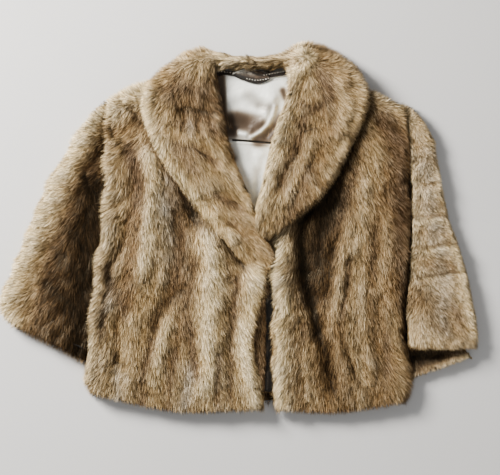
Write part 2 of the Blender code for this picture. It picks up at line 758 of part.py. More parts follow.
def build_lining(look: bpy.types.Material) -> None:
    """Make the back lining where it shows: a satin sheet, creased in the neck and flat in the slit."""
    right_edge = [(row.roll,) for row in COLLAR_RIGHT_ROWS[3:]]
    left_edge = [(row.roll,) for row in COLLAR_LEFT_ROWS[3:]]

    def creased(spot: Spot) -> float:
        x, y = spot.place / MM
        if y < CREASE_LOWEST_Y:
            return 0.0
        clear = min(x - border_x(right_edge, 0, y), border_x(left_edge, 0, y) - x) - CREASE_CLEAR
        share = rounded(clear, CREASE_SLOPE) * (1.0 - eased(y, *CREASE_TOP_Y))
        return max(relief(LINING_FOLDS, spot.place), 0.0) * share

    rows = [[point(row.right), point(row.left)] for row in LINING_ROWS]
    panel(
        "lining",
        rows,
        columns=16,
        lines=len(rows) - 1,
        upper=lambda spot: LINING_TOP + creased(spot),
        lower=lambda spot: LINING_BASE + creased(spot),
        look=look,
        even=True,
    )


def build_braid(look: bpy.types.Material) -> None:
    """Make the braid over the back-neck seam, low where the label crosses it."""
    base = LINING_TOP + SEAM_GAP
    panel(
        "neck_braid",
        [[point(row.right), point(row.left)] for row in BRAID_ROWS],
        columns=6,
        lines=len(BRAID_ROWS) * 2,
        upper=lambda spot: base + flat_height(spot, BRAID_THICKNESS, BRAID_ROUND),
        lower=lambda spot: base,
        look=look,
    )


def build_label(look: bpy.types.Material) -> None:
    """Make the plain label: a pointed oval plate that lies on the braid and the lining."""
    radius = (LABEL_LENGTH ** 2 + LABEL_HEIGHT ** 2) / (4 * LABEL_HEIGHT)
    sweep = math.asin(LABEL_LENGTH / (2 * radius))
    sink = radius - LABEL_HEIGHT / 2
    outline = []
    for side in (1, -1):
        for step in range(LABEL_ARC_STEPS):
            angle = side * (2 * sweep * step / LABEL_ARC_STEPS - sweep)
            outline.append((radius * math.sin(angle), side * (radius * math.cos(angle) - sink)))
    curve = bpy.data.curves.new("label", "CURVE")
    curve.dimensions = "2D"
    curve.fill_mode = "BOTH"
    curve.extrude = LABEL_THICKNESS / 2
    shape = curve.splines.new("POLY")
    shape.points.add(len(outline) - 1)
    for vertex, (x, y) in zip(shape.points, outline):
        vertex.co = (x, y, 0.0, 1.0)
    shape.use_cyclic_u = True
    guide = bpy.data.objects.new("label_outline", curve)
    bpy.context.scene.collection.objects.link(guide)
    evaluated = guide.evaluated_get(bpy.context.evaluated_depsgraph_get())
    mesh = bpy.data.meshes.new_from_object(evaluated)
    bpy.data.objects.remove(guide)
    bm = bmesh.new()
    bm.from_mesh(mesh)
    bmesh.ops.remove_doubles(bm, verts=bm.verts, dist=0.00001)
    bmesh.ops.recalc_face_normals(bm, faces=bm.faces)
    bm.to_mesh(mesh)
    bm.free()
    made = add_object("label", mesh, look, smooth=False)
    made.location = (*LABEL_CENTRE, LINING_TOP + 2 * SEAM_GAP + BRAID_THICKNESS + LABEL_THICKNESS / 2)


def build_facing(look: bpy.types.Material) -> None:
    """Make the fur facing turned under the right front's centre edge."""
    edge = [point(pair) for pair in FACING_EDGE]
    width = Vector((FACING_WIDTH, 0.0))
    panel(
        "front_facing_right",
        [[place, place - width] for place in edge],
        columns=7,
        lines=12,
        upper=lambda spot: FRONT_BASE + flat_height(spot, FACING_THICKNESS, FACING_ROUND),
        lower=lambda spot: FRONT_BASE,
        look=look,
    )


def main() -> None:
    """Clear the scene and build the garment."""
    for old in list(bpy.data.objects):
        bpy.data.objects.remove(old)
    garment = bpy.data.collections.new("fur_cape_jacket")
    bpy.context.scene.collection.children.link(garment)

    looks = {name: material(name) for name in LOOKS}
    right_collar = [[point(row.roll), point(row.fall)] for row in COLLAR_RIGHT_ROWS]
    left_collar = [[point(row.roll), point(row.fall)] for row in COLLAR_LEFT_ROWS]
    back_outline = outline_of(back_rows())
    neck = (point(BACK_ROWS[0].neck_right).x, point(BACK_ROWS[0].neck_left).x)

    build_back(looks["tan_fur"])
    build_lining(looks["satin_lining"])
    build_front("front_right", FRONT_RIGHT_ROWS, FRONT_RIGHT_FOLDS, outline_of(right_collar), True, looks["tan_fur"])
    build_front("front_left", FRONT_LEFT_ROWS, FRONT_LEFT_FOLDS, outline_of(left_collar), False, looks["tan_fur"])
    build_facing(looks["facing_fur"])

    right_sleeve = sleeve_rows(SLEEVE_RIGHT_ROWS, FRONT_RIGHT_ROWS, -1)
    left_sleeve = sleeve_rows(SLEEVE_LEFT_ROWS, FRONT_LEFT_ROWS, 1)
    build_sleeve("sleeve_right_upper", right_sleeve, SLEEVE_RIGHT_FOLDS, MOUTH_RIGHT, looks["sleeve_fur"])
    build_sleeve("sleeve_left_upper", left_sleeve, SLEEVE_LEFT_FOLDS, MOUTH_LEFT, looks["sleeve_fur"])
    right_under = under_sleeve_rows(SLEEVE_RIGHT_UNDER_HEIGHTS, SLEEVE_RIGHT_ROWS, FRONT_RIGHT_ROWS, -1)
    left_under = under_sleeve_rows(SLEEVE_LEFT_UNDER_HEIGHTS, SLEEVE_LEFT_ROWS, FRONT_LEFT_ROWS, 1)
    build_under_sleeve("sleeve_right_under", right_under, looks["facing_fur"])
    build_under_sleeve("sleeve_left_under", left_under, looks["facing_fur"])

    for name, rows, folds, front, crossing_y, on_top in (
        ("collar_right", right_collar, COLLAR_RIGHT_FOLDS, FRONT_RIGHT_ROWS, COLLAR_RIGHT_CROSSING_Y, False),
        ("collar_left", left_collar, COLLAR_LEFT_FOLDS, FRONT_LEFT_ROWS, COLLAR_LEFT_CROSSING_Y, True),
    ):
        front_outline = outline_of(front_rows(front))
        look = looks["collar_fur"]
        build_collar(name, rows, folds, front_outline, back_outline, neck, crossing_y, on_top, look)
    build_braid(looks["black_braid"])
    build_label(looks["label_cloth"])


main()
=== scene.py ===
"""Fur cape jacket laid flat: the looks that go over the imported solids.

Every fur panel is two pieces: a pelt (the leather and underfur, made from the panel's own
solid) and the hairs that Geometry Nodes grow from it. The satin lining, the neck braid and
the label are made here too. Sizes are in millimetres and turned to metres where a mesh is made.
"""

import logging
import math
from dataclasses import dataclass
from enum import Enum

import bmesh
import bpy
import numpy as np
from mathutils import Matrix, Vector


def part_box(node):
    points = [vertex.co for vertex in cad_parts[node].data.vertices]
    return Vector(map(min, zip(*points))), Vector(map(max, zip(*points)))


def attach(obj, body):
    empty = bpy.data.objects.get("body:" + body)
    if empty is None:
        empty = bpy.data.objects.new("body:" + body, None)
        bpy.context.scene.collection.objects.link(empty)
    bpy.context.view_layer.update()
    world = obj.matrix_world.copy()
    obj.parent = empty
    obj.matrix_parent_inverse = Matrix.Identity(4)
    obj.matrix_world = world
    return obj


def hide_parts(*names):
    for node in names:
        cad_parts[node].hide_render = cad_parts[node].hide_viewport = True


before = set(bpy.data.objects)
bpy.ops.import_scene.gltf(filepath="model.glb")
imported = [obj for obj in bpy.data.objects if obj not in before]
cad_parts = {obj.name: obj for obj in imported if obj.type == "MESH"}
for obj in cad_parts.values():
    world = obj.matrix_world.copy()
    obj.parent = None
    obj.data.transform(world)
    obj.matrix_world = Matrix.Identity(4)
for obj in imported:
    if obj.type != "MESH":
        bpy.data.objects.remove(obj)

log = logging.getLogger("fur_cape")

MM = 0.001
BODY = "root"

# Places seen from above, in mm from the garment's middle: +x its left, +y its collar.
Path2D = tuple[tuple[float, float], ...]
Socket = bpy.types.NodeSocket


# --- small tools ---------------------------------------------------------------------


def linear(hex_colour: str, alpha: float = 1.0) -> tuple[float, float, float, float]:
    """Turns an sRGB hex colour into Blender's linear values.

    Args:
        hex_colour: Six hex digits after a hash.
        alpha: The colour's alpha.

    Returns:
        Linear red, green, blue and the alpha.
    """
    parts = [int(hex_colour[i : i + 2], 16) / 255 for i in (1, 3, 5)]
    r, g, b = (p / 12.92 if p <= 0.04045 else ((p + 0.055) / 1.055) ** 2.4 for p in parts)
    return r, g, b, alpha


def flat_points(path: Path2D) -> np.ndarray:
    """Gives a path's points in metres."""
    return np.array(path, float) * MM


def off_path(points: np.ndarray, path: Path2D) -> np.ndarray:
    """Measures how far each point is from a path, seen from above.

    Args:
        points: Points, in metres.
        path: The path, in mm.

    Returns:
        One distance in metres for each point.
    """
    corners = flat_points(path)
    best = np.full(len(points), np.inf)
    for start, end in zip(corners[:-1], corners[1:]):
        leg = end - start
        share = np.clip((points[:, :2] - start) @ leg / (leg @ leg), 0, 1)
        gap = np.linalg.norm(points[:, :2] - start - share[:, None] * leg, axis=1)
        best = np.minimum(best, gap)
    return best


def smooth(low: float, high: float, value: np.ndarray) -> np.ndarray:
    """Rises smoothly from 0 at low to 1 at high."""
    share = np.clip((value - low) / (high - low), 0, 1)
    return share * share * (3 - 2 * share)


def swell(points: np.ndarray, size: float, seed: int) -> np.ndarray:
    """Gives soft random heights seen from above.

    Args:
        points: Where the heights are wanted, in metres.
        size: The distance between bumps, in mm.
        seed: The seed of the bumps.

    Returns:
        A height from -1 to 1 for each point.
    """
    many = 128
    grid = np.random.default_rng(seed).uniform(-1, 1, (many, many))
    spot = (points[:, :2] + 1) / (size * MM)
    cell = np.floor(spot).astype(int)
    u, v = smooth(0, 1, spot - cell).T
    x, y = (cell % many).T
    after_x, after_y = (x + 1) % many, (y + 1) % many
    low = grid[x, y] * (1 - u) + grid[after_x, y] * u
    high = grid[x, after_y] * (1 - u) + grid[after_x, after_y] * u
    return low * (1 - v) + high * v


def values_of(items: bpy.types.bpy_prop_collection, field: str, columns: int = 1) -> np.ndarray:
    """Reads one field of a mesh's points, faces or loops.

    Args:
        items: The points, faces or loops.
        field: The field's name.
        columns: How many numbers each has.

    Returns:
        The values, one row each, or one number each for a single column.
    """
    flat = np.zeros(len(items) * columns, np.float32)
    items.foreach_get(field, flat)
    return flat.reshape(-1, columns).astype(float) if columns > 1 else flat.astype(float)


def move_points(mesh: bpy.types.Mesh, points: np.ndarray) -> None:
    """Moves a mesh's points, given in metres."""
    mesh.vertices.foreach_set("co", points.astype(np.float32).ravel())
    mesh.update()


def keep_values(mesh: bpy.types.Mesh, name: str, kind: str, values: np.ndarray) -> None:
    """Writes one value a point to a named attribute of a mesh.

    Args:
        mesh: The mesh.
        name: The attribute's name.
        kind: FLOAT, FLOAT_VECTOR or FLOAT_COLOR.
        values: The values, one row a point.
    """
    layer = mesh.attributes.new(name, kind, "POINT")
    field = {"FLOAT": "value", "FLOAT_VECTOR": "vector", "FLOAT_COLOR": "color"}[kind]
    layer.data.foreach_set(field, np.ascontiguousarray(values, np.float32).ravel())


def shade_smooth(mesh: bpy.types.Mesh) -> None:
    """Lets light run smoothly over a mesh's faces."""
    mesh.polygons.foreach_set("use_smooth", np.ones(len(mesh.polygons), bool))


def dress(mesh: bpy.types.Mesh, look: bpy.types.Material, paint: np.ndarray) -> None:
    """Gives a mesh its colours and its one material.

    Args:
        mesh: The mesh.
        look: The material.
        paint: A linear colour for each point.
    """
    keep_values(mesh, "paint", "FLOAT_COLOR", paint)
    shade_smooth(mesh)
    mesh.materials.clear()
    mesh.materials.append(look)


def place(name: str, data: bpy.types.ID) -> bpy.types.Object:
    """Links a new object at the origin.

    Args:
        name: The object's name.
        data: The mesh, lamp or camera that it shows.

    Returns:
        The object.
    """
    piece = bpy.data.objects.new(name, data)
    bpy.context.scene.collection.objects.link(piece)
    return piece


def make_plain(piece: bpy.types.Object) -> None:
    """Applies a piece's modifiers, so that it shows a plain mesh of its own.

    Args:
        piece: The piece.
    """
    bpy.context.view_layer.update()
    graph = bpy.context.evaluated_depsgraph_get()
    mesh = bpy.data.meshes.new_from_object(
        piece.evaluated_get(graph), preserve_all_data_layers=True, depsgraph=graph
    )
    piece.modifiers.clear()
    old, piece.data = piece.data, mesh
    bpy.data.meshes.remove(old)
    mesh.name = piece.name


def run_nodes(
    piece: bpy.types.Object, tree: bpy.types.NodeTree, wanted: dict[str, float]
) -> None:
    """Runs a Geometry Nodes tree on a piece and keeps the plain mesh.

    Args:
        piece: The piece.
        tree: The tree.
        wanted: The value of each of its named inputs.
    """
    step = piece.modifiers.new(tree.name, "NODES")
    step.node_group = tree
    for item in tree.interface.items_tree:
        if item.in_out == "INPUT" and item.name in wanted:
            step[item.identifier] = wanted[item.name]
    make_plain(piece)


def solid_copy(node: str, name: str, levels: int) -> bpy.types.Object:
    """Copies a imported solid, joins its triangles into wider faces and rounds it.

    Args:
        node: The solid's node.
        name: The new piece's name.
        levels: How many times its faces are divided.

    Returns:
        The new piece.
    """
    grid = bmesh.new()
    grid.from_mesh(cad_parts[node].data)
    bmesh.ops.remove_doubles(grid, verts=grid.verts, dist=0.02 * MM)
    bmesh.ops.join_triangles(
        grid, faces=grid.faces, angle_face_threshold=0.6, angle_shape_threshold=1.2
    )
    mesh = bpy.data.meshes.new(name)
    grid.to_mesh(mesh)
    grid.free()
    piece = place(name, mesh)
    rounding = piece.modifiers.new("round", "SUBSURF")
    rounding.levels = rounding.render_levels = levels
    make_plain(piece)
    return piece


def declare_sheet(
    piece: bpy.types.Object, node: str, extras: list[bpy.types.Object]
) -> None:
    """Attaches a laid sheet that stands for a solid, and the pieces on it, to the body, and hides
    the solid.

    Its cloth, half of its closed shell's surface, is worked out but not used.

    Args:
        piece: The sheet.
        node: The solid's node.
        extras: The pieces on the sheet.
    """
    for part in (piece, *extras):
        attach(part, BODY)
    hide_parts(node)
    cloth = values_of(piece.data.polygons, "area").sum() / 2


# --- nodes ---------------------------------------------------------------------------


def add(
    tree: bpy.types.NodeTree, kind: str, values: dict | None = None, **settings: object
) -> bpy.types.Node:
    """Adds one node to a tree.

    Args:
        tree: The shader or geometry tree.
        kind: The node's type name.
        values: An input's name or place to its constant, or to the socket that feeds it.
        settings: The node's own properties.

    Returns:
        The node.
    """
    node = tree.nodes.new(kind)
    for name, setting in settings.items():
        setattr(node, name, setting)
    for socket, value in (values or {}).items():
        if isinstance(value, bpy.types.NodeSocket):
            tree.links.new(value, node.inputs[socket])
        else:
            node.inputs[socket].default_value = value
    return node


def maths(tree: bpy.types.NodeTree, operation: str, *values: float | Socket) -> Socket:
    """Works out a number from numbers."""
    return add(tree, "ShaderNodeMath", dict(enumerate(values)), operation=operation).outputs[0]


def vectors(tree: bpy.types.NodeTree, operation: str, *values: tuple | Socket) -> Socket:
    """Works out a vector, or the number of a dot product, from vectors."""
    node = add(tree, "ShaderNodeVectorMath", dict(enumerate(values)), operation=operation)
    return node.outputs["Value" if operation == "DOT_PRODUCT" else "Vector"]


def scaled(tree: bpy.types.NodeTree, vector: tuple | Socket, share: Socket) -> Socket:
    """Scales a vector or a colour."""
    values = {0: vector, "Scale": share}
    return add(tree, "ShaderNodeVectorMath", values, operation="SCALE").outputs[0]


def ranged(
    tree: bpy.types.NodeTree,
    value: Socket,
    low: float,
    high: float,
    start: float = 0.0,
    end: float = 1.0,
    way: str = "LINEAR",
) -> Socket:
    """Maps a number from one range to another.

    Args:
        tree: The tree.
        value: The number.
        low: What start turns into.
        high: What end turns into.
        start: The first range's start.
        end: The first range's end.
        way: LINEAR or SMOOTHSTEP.

    Returns:
        The mapped number.
    """
    values = {0: value, 1: start, 2: end, 3: low, 4: high}
    return add(tree, "ShaderNodeMapRange", values, interpolation_type=way).outputs[0]


def noise(
    tree: bpy.types.NodeTree, where: Socket, size: float, detail: float = 1.0, rough: float = 0.5
) -> Socket:
    """Makes a soft random pattern.

    Args:
        tree: The tree.
        where: The place that it is read at.
        size: The size of its patches, in mm.
        detail: How many finer layers it has.
        rough: How strong the finer layers are.

    Returns:
        Its value.
    """
    values = {"Vector": where, "Scale": 1 / (size * MM), "Detail": detail, "Roughness": rough}
    return add(tree, "ShaderNodeTexNoise", values).outputs[0]


def lines(tree: bpy.types.NodeTree, where: Socket, pitch: float, way: str, bent: float) -> Socket:
    """Makes even lines, as threads or plies have.

    Args:
        tree: The tree.
        where: The place that they are read at.
        pitch: From one line to the next, in mm.
        way: X or Y, the way that they follow each other.
        bent: How much they waver.

    Returns:
        Their value.
    """
    waves = 0.314 / (pitch * MM)  # at scale 1 the texture repeats every 0.314 units
    values = {"Vector": where, "Scale": waves, "Distortion": bent}
    return add(tree, "ShaderNodeTexWave", values, bands_direction=way).outputs["Fac"]


def drawn_out(tree: bpy.types.NodeTree, where: Socket, share: float) -> Socket:
    """Draws a pattern out along Y, to 1 / share of its length."""
    return add(tree, "ShaderNodeMapping", {"Vector": where, "Scale": (1.0, share, 1.0)}).outputs[0]


def bump(tree: bpy.types.NodeTree, height: Socket, strength: float, depth: float) -> bpy.types.Node:
    """Turns a pattern into small relief, depth mm deep."""
    values = {"Strength": strength, "Distance": depth * MM, "Height": height}
    return add(tree, "ShaderNodeBump", values)


def carried(tree: bpy.types.NodeTree, name: str) -> bpy.types.Node:
    """Reads an attribute that the mesh carries."""
    return add(tree, "ShaderNodeAttribute", attribute_name=name)


def object_place(tree: bpy.types.NodeTree) -> Socket:
    """Gives the place on the object, in metres."""
    return add(tree, "ShaderNodeTexCoord").outputs["Object"]


def new_look(name: str, constants: dict[str, object]) -> tuple[bpy.types.Material, bpy.types.Node]:
    """Starts a material.

    Args:
        name: Its name.
        constants: The values on its shader's own sockets.

    Returns:
        The material and its shader.
    """
    look = bpy.data.materials.new(name)
    look.use_nodes = True
    shader = look.node_tree.nodes["Principled BSDF"]
    for socket, value in constants.items():
        shader.inputs[socket].default_value = value
    return look, shader


def feed(look: bpy.types.Material, shader: bpy.types.Node, colour: Socket, normal: Socket) -> None:
    """Links a shader's colour and normal."""
    look.node_tree.links.new(colour, shader.inputs["Base Color"])
    look.node_tree.links.new(normal, shader.inputs["Normal"])


# --- colours and finishes ------------------------------------------------------------


class Shade(Enum):
    """The fur's and the cloth's colours, as sRGB. Strokes of them give the things' own tones and
    also painted light: CREAM, SAND and SILVER serve as painted highlight, MIST as painted shade and
    dim highlight on the satin, and DARK, UMBER, TAUPE and SOOT as painted shade, shadow and
    reflection.
    """

    CREAM = "#fee4b0"
    SAND = "#cbb084"
    TAN = "#ab8f63"
    FAWN = "#937650"
    OCHRE = "#6f5335"
    BROWN = "#5f4933"
    DARK = "#34220f"
    UMBER = "#140b04"
    GREY = "#b7aa96"
    SILVER = "#eceee8"
    MIST = "#8b867d"
    TAUPE = "#43362a"
    SOOT = "#15110d"


# How far a pale crest stands up and a dark hollow sinks at a stroke's middle, in mm.
CREST = {
    Shade.CREAM: 6.0,
    Shade.SAND: 3.5,
    Shade.BROWN: -2.5,
    Shade.DARK: -4.5,
    Shade.UMBER: -6.5,
    Shade.OCHRE: -1.0,
}


@dataclass(frozen=True)
class Stroke:
    """A run of colour over the fur or cloth. Some runs are the thing's own tone, others painted
    highlight, shade or shadow.

    Attributes:
        shade: Its colour.
        width: How far it spreads, mm.
        strength: Its share of the colour.
        path: Where it runs.
        edge: How sharply it ends.
    """

    shade: Shade
    width: float
    strength: float
    path: Path2D
    edge: float = 2.3

    def share(self, points: np.ndarray) -> np.ndarray:
        """Gives the stroke's share of the colour at each point."""
        gap = off_path(points, self.path) / (self.width * MM)
        return self.strength * np.exp(-(gap**self.edge))


@dataclass(frozen=True)
class Comb:
    """How the hairs lie near one point: heading in degrees from +X, and their length."""

    at: tuple[float, float]
    heading: float
    length: float = 1.0


def painted(points: np.ndarray, base: Shade, strokes: tuple[Stroke, ...]) -> np.ndarray:
    """Lays strokes of colour over a base.

    Args:
        points: Where the colours are wanted, in metres.
        base: The colour under the strokes.
        strokes: The strokes, the later over the earlier.

    Returns:
        A linear colour for each point, with alpha 1.
    """
    colours = np.tile(np.log(linear(base.value)), (len(points), 1))
    for stroke in strokes:
        share = stroke.share(points)[:, None]
        colours = colours * (1 - share) + np.log(linear(stroke.shade.value)) * share
    return np.exp(colours)


def relief(points: np.ndarray, strokes: tuple[Stroke, ...]) -> np.ndarray:
    """Gives the crests and hollows that go with strokes of colour.

    Args:
        points: Where the heights are wanted, in metres.
        strokes: The strokes.

    Returns:
        A rise for each point, in metres.
    """
    rise = np.zeros(len(points))
    for stroke in strokes:
        share = stroke.share(points)
        rise = rise * (1 - share) + CREST.get(stroke.shade, 0.0) * MM * share
    return rise


@dataclass(frozen=True)
class MinkHair:
    """Guard hairs of a dressed and glazed mink-like pelt.

    Each hair is darkest at its root, a painted shade for the depth of the pile, pale hairs are
    creamier and dark ones browner, and tufts differ too, so the fur reads as fine cream streaks
    over brown with dark gaps. The gloss is soft and broad.
    """

    name: str
    root: float = 0.14  # share of its colour that a hair keeps at its root
    tip: float = 1.12
    least: float = 0.28  # the darkest and palest hairs, as shares of the pelt's colour
    most: float = 1.54
    brown: float = 1.35  # the powers that deepen a dark hair's colour and whiten a pale one's
    cream: float = 0.72
    mottle: float = 7.0  # mm between the mottles of darker hair
    pelt: float = 24.0  # mm across a pelt's darker middle stripe
    slope: float = 1.3  # weight of the pelt's slope against the hair's own face

    def material(self) -> bpy.types.Material:
        """Makes the hairs' material.

        Returns:
            The material.
        """
        gloss = {"Roughness": 0.45, "IOR": 1.55, "Specular IOR Level": 0.3}
        look, shader = new_look(self.name, gloss | {"Specular Tint": linear("#e8cfa8")})
        tree = look.node_tree
        root = carried(tree, "root").outputs["Vector"]
        own = carried(tree, "hair").outputs["Fac"]
        along = carried(tree, "along").outputs["Fac"]
        # Painted shade: each hair darkens toward its root, as the pile's depth would shade it.
        light = ranged(tree, along, self.root, self.tip, 0.1, 0.95, "SMOOTHSTEP")
        mottles = noise(tree, root, self.mottle, 4.0, 0.65)
        stripes = noise(tree, drawn_out(tree, root, 0.4), self.pelt)
        for share in (
            ranged(tree, own, self.least, self.most),
            ranged(tree, mottles, 0.6, 1.26, 0.32, 0.68),
            ranged(tree, stripes, 0.88, 1.1, 0.3, 0.7),
        ):
            light = maths(tree, "MULTIPLY", light, share)
        power = ranged(tree, own, self.brown, self.cream)
        paint = carried(tree, "paint").outputs["Color"]
        toned = add(tree, "ShaderNodeGamma", {"Color": paint, "Gamma": power})
        # The hair's own face is mixed with the pelt's slope under it, as a dense pile's light is.
        face = add(tree, "ShaderNodeNewGeometry").outputs["Normal"]
        ground = carried(tree, "ground").outputs["Vector"]
        slope = vectors(tree, "MULTIPLY_ADD", ground, (self.slope,) * 3, face)
        colour = scaled(tree, toned.outputs["Color"], light)
        feed(look, shader, colour, vectors(tree, "NORMALIZE", slope))
        return look


@dataclass(frozen=True)
class MinkUnderfur:
    """Dense woolly underfur over tanned leather, the ground that guard hairs part to show.

    It has no gloss and is darker than the hair, in short streaks along the pelt, and the hollows of
    its bumps are painted darker as painted shade.
    """

    name: str
    dark: float = 0.3  # share of the hair's colour in its hollows
    pale: float = 0.6
    streak: float = 5.0  # mm across a tuft; the real wool is finer than a render shows

    def material(self) -> bpy.types.Material:
        """Makes the underfur's material.

        Returns:
            The material.
        """
        dull = {"Roughness": 0.9, "Specular IOR Level": 0.15, "Sheen Weight": 0.08}
        look, shader = new_look(self.name, dull)
        tree = look.node_tree
        tufts = noise(tree, drawn_out(tree, object_place(tree), 0.3), self.streak, 4.0)
        # Painted shade: the low parts of the tufts' bumps are darker.
        light = ranged(tree, tufts, self.dark, self.pale, 0.3, 0.7)
        colour = scaled(tree, carried(tree, "paint").outputs["Color"], light)
        feed(look, shader, colour, bump(tree, tufts, 0.8, 2.0).outputs[0])
        return look


@dataclass(frozen=True)
class AcetateSatin:
    """Silver-white acetate satin.

    Its long floats give a soft bright gloss. Where a fold turns the light away, brown and dark
    patches are painted on it as painted reflection and shade, so it looks like dull metal.
    """

    name: str = "acetate_satin"
    thread: float = 0.6  # mm between floats; real ones are finer than the render shows
    ripple: float = 16.0  # mm between soft ripples

    def material(self) -> bpy.types.Material:
        """Makes the satin's material.

        Returns:
            The material.
        """
        gloss = {"Metallic": 0.12, "Roughness": 0.42, "Anisotropic": 0.4}
        look, shader = new_look(self.name, gloss | {"Specular IOR Level": 0.35})
        tree = look.node_tree
        where = object_place(tree)
        floats = noise(tree, drawn_out(tree, where, 0.12), self.thread, 2.0)
        light = ranged(tree, floats, 0.93, 1.04, 0.3, 0.7)
        colour = scaled(tree, carried(tree, "paint").outputs["Color"], light)
        soft = bump(tree, noise(tree, where, self.ripple, 2.0), 0.35, 4.0)
        fine = bump(tree, floats, 0.12, 0.4)
        tree.links.new(soft.outputs[0], fine.inputs["Normal"])
        feed(look, shader, colour, fine.outputs[0])
        return look


@dataclass(frozen=True)
class CottonYarn:
    """Mercerised cotton yarn, twisted: a dull thread with fine slanting plies."""

    name: str
    colour: str
    ply: float = 0.9  # mm from ply to ply; coarser than real so that it shows
    lean: float = 35.0  # degrees that the plies slant

    def material(self) -> bpy.types.Material:
        """Makes the yarn's material.

        Returns:
            The material.
        """
        look, shader = new_look(self.name, {"Roughness": 0.7, "Specular IOR Level": 0.2})
        tree = look.node_tree
        turn = {"Vector": object_place(tree), "Rotation": (0.0, 0.0, math.radians(self.lean))}
        plies = lines(tree, add(tree, "ShaderNodeMapping", turn).outputs[0], self.ply, "X", 1.5)
        colour = scaled(tree, linear(self.colour)[:3], ranged(tree, plies, 0.6, 1.15))
        feed(look, shader, colour, bump(tree, plies, 0.8, 0.6).outputs[0])
        return look


@dataclass(frozen=True)
class WovenRibbon:
    """Dark damask ribbon: a plain weave whose crossings are painted a little lighter as a painted
    glint, over a mottled ground.
    """

    name: str
    thread: float = 0.9  # mm from thread to thread; coarser than real so that it shows
    mottle: float = 4.0  # mm between the mottles of its ground

    def material(self) -> bpy.types.Material:
        """Makes the ribbon's material.

        Returns:
            The material.
        """
        look, shader = new_look(self.name, {"Roughness": 0.6, "Specular IOR Level": 0.3})
        tree = look.node_tree
        where = object_place(tree)
        warp, weft = (lines(tree, where, self.thread, way, 0.0) for way in "XY")
        weave = maths(tree, "MULTIPLY", warp, weft)
        patches = ranged(tree, noise(tree, where, self.mottle, 3.0), 0.45, 1.5, 0.35, 0.65)
        light = maths(tree, "MULTIPLY", maths(tree, "MULTIPLY_ADD", weave, 0.7, 0.7), patches)
        colour = scaled(tree, carried(tree, "paint").outputs["Color"], light)
        feed(look, shader, colour, bump(tree, weave, 0.4, 0.4).outputs[0])
        return look


# --- the fur -------------------------------------------------------------------------


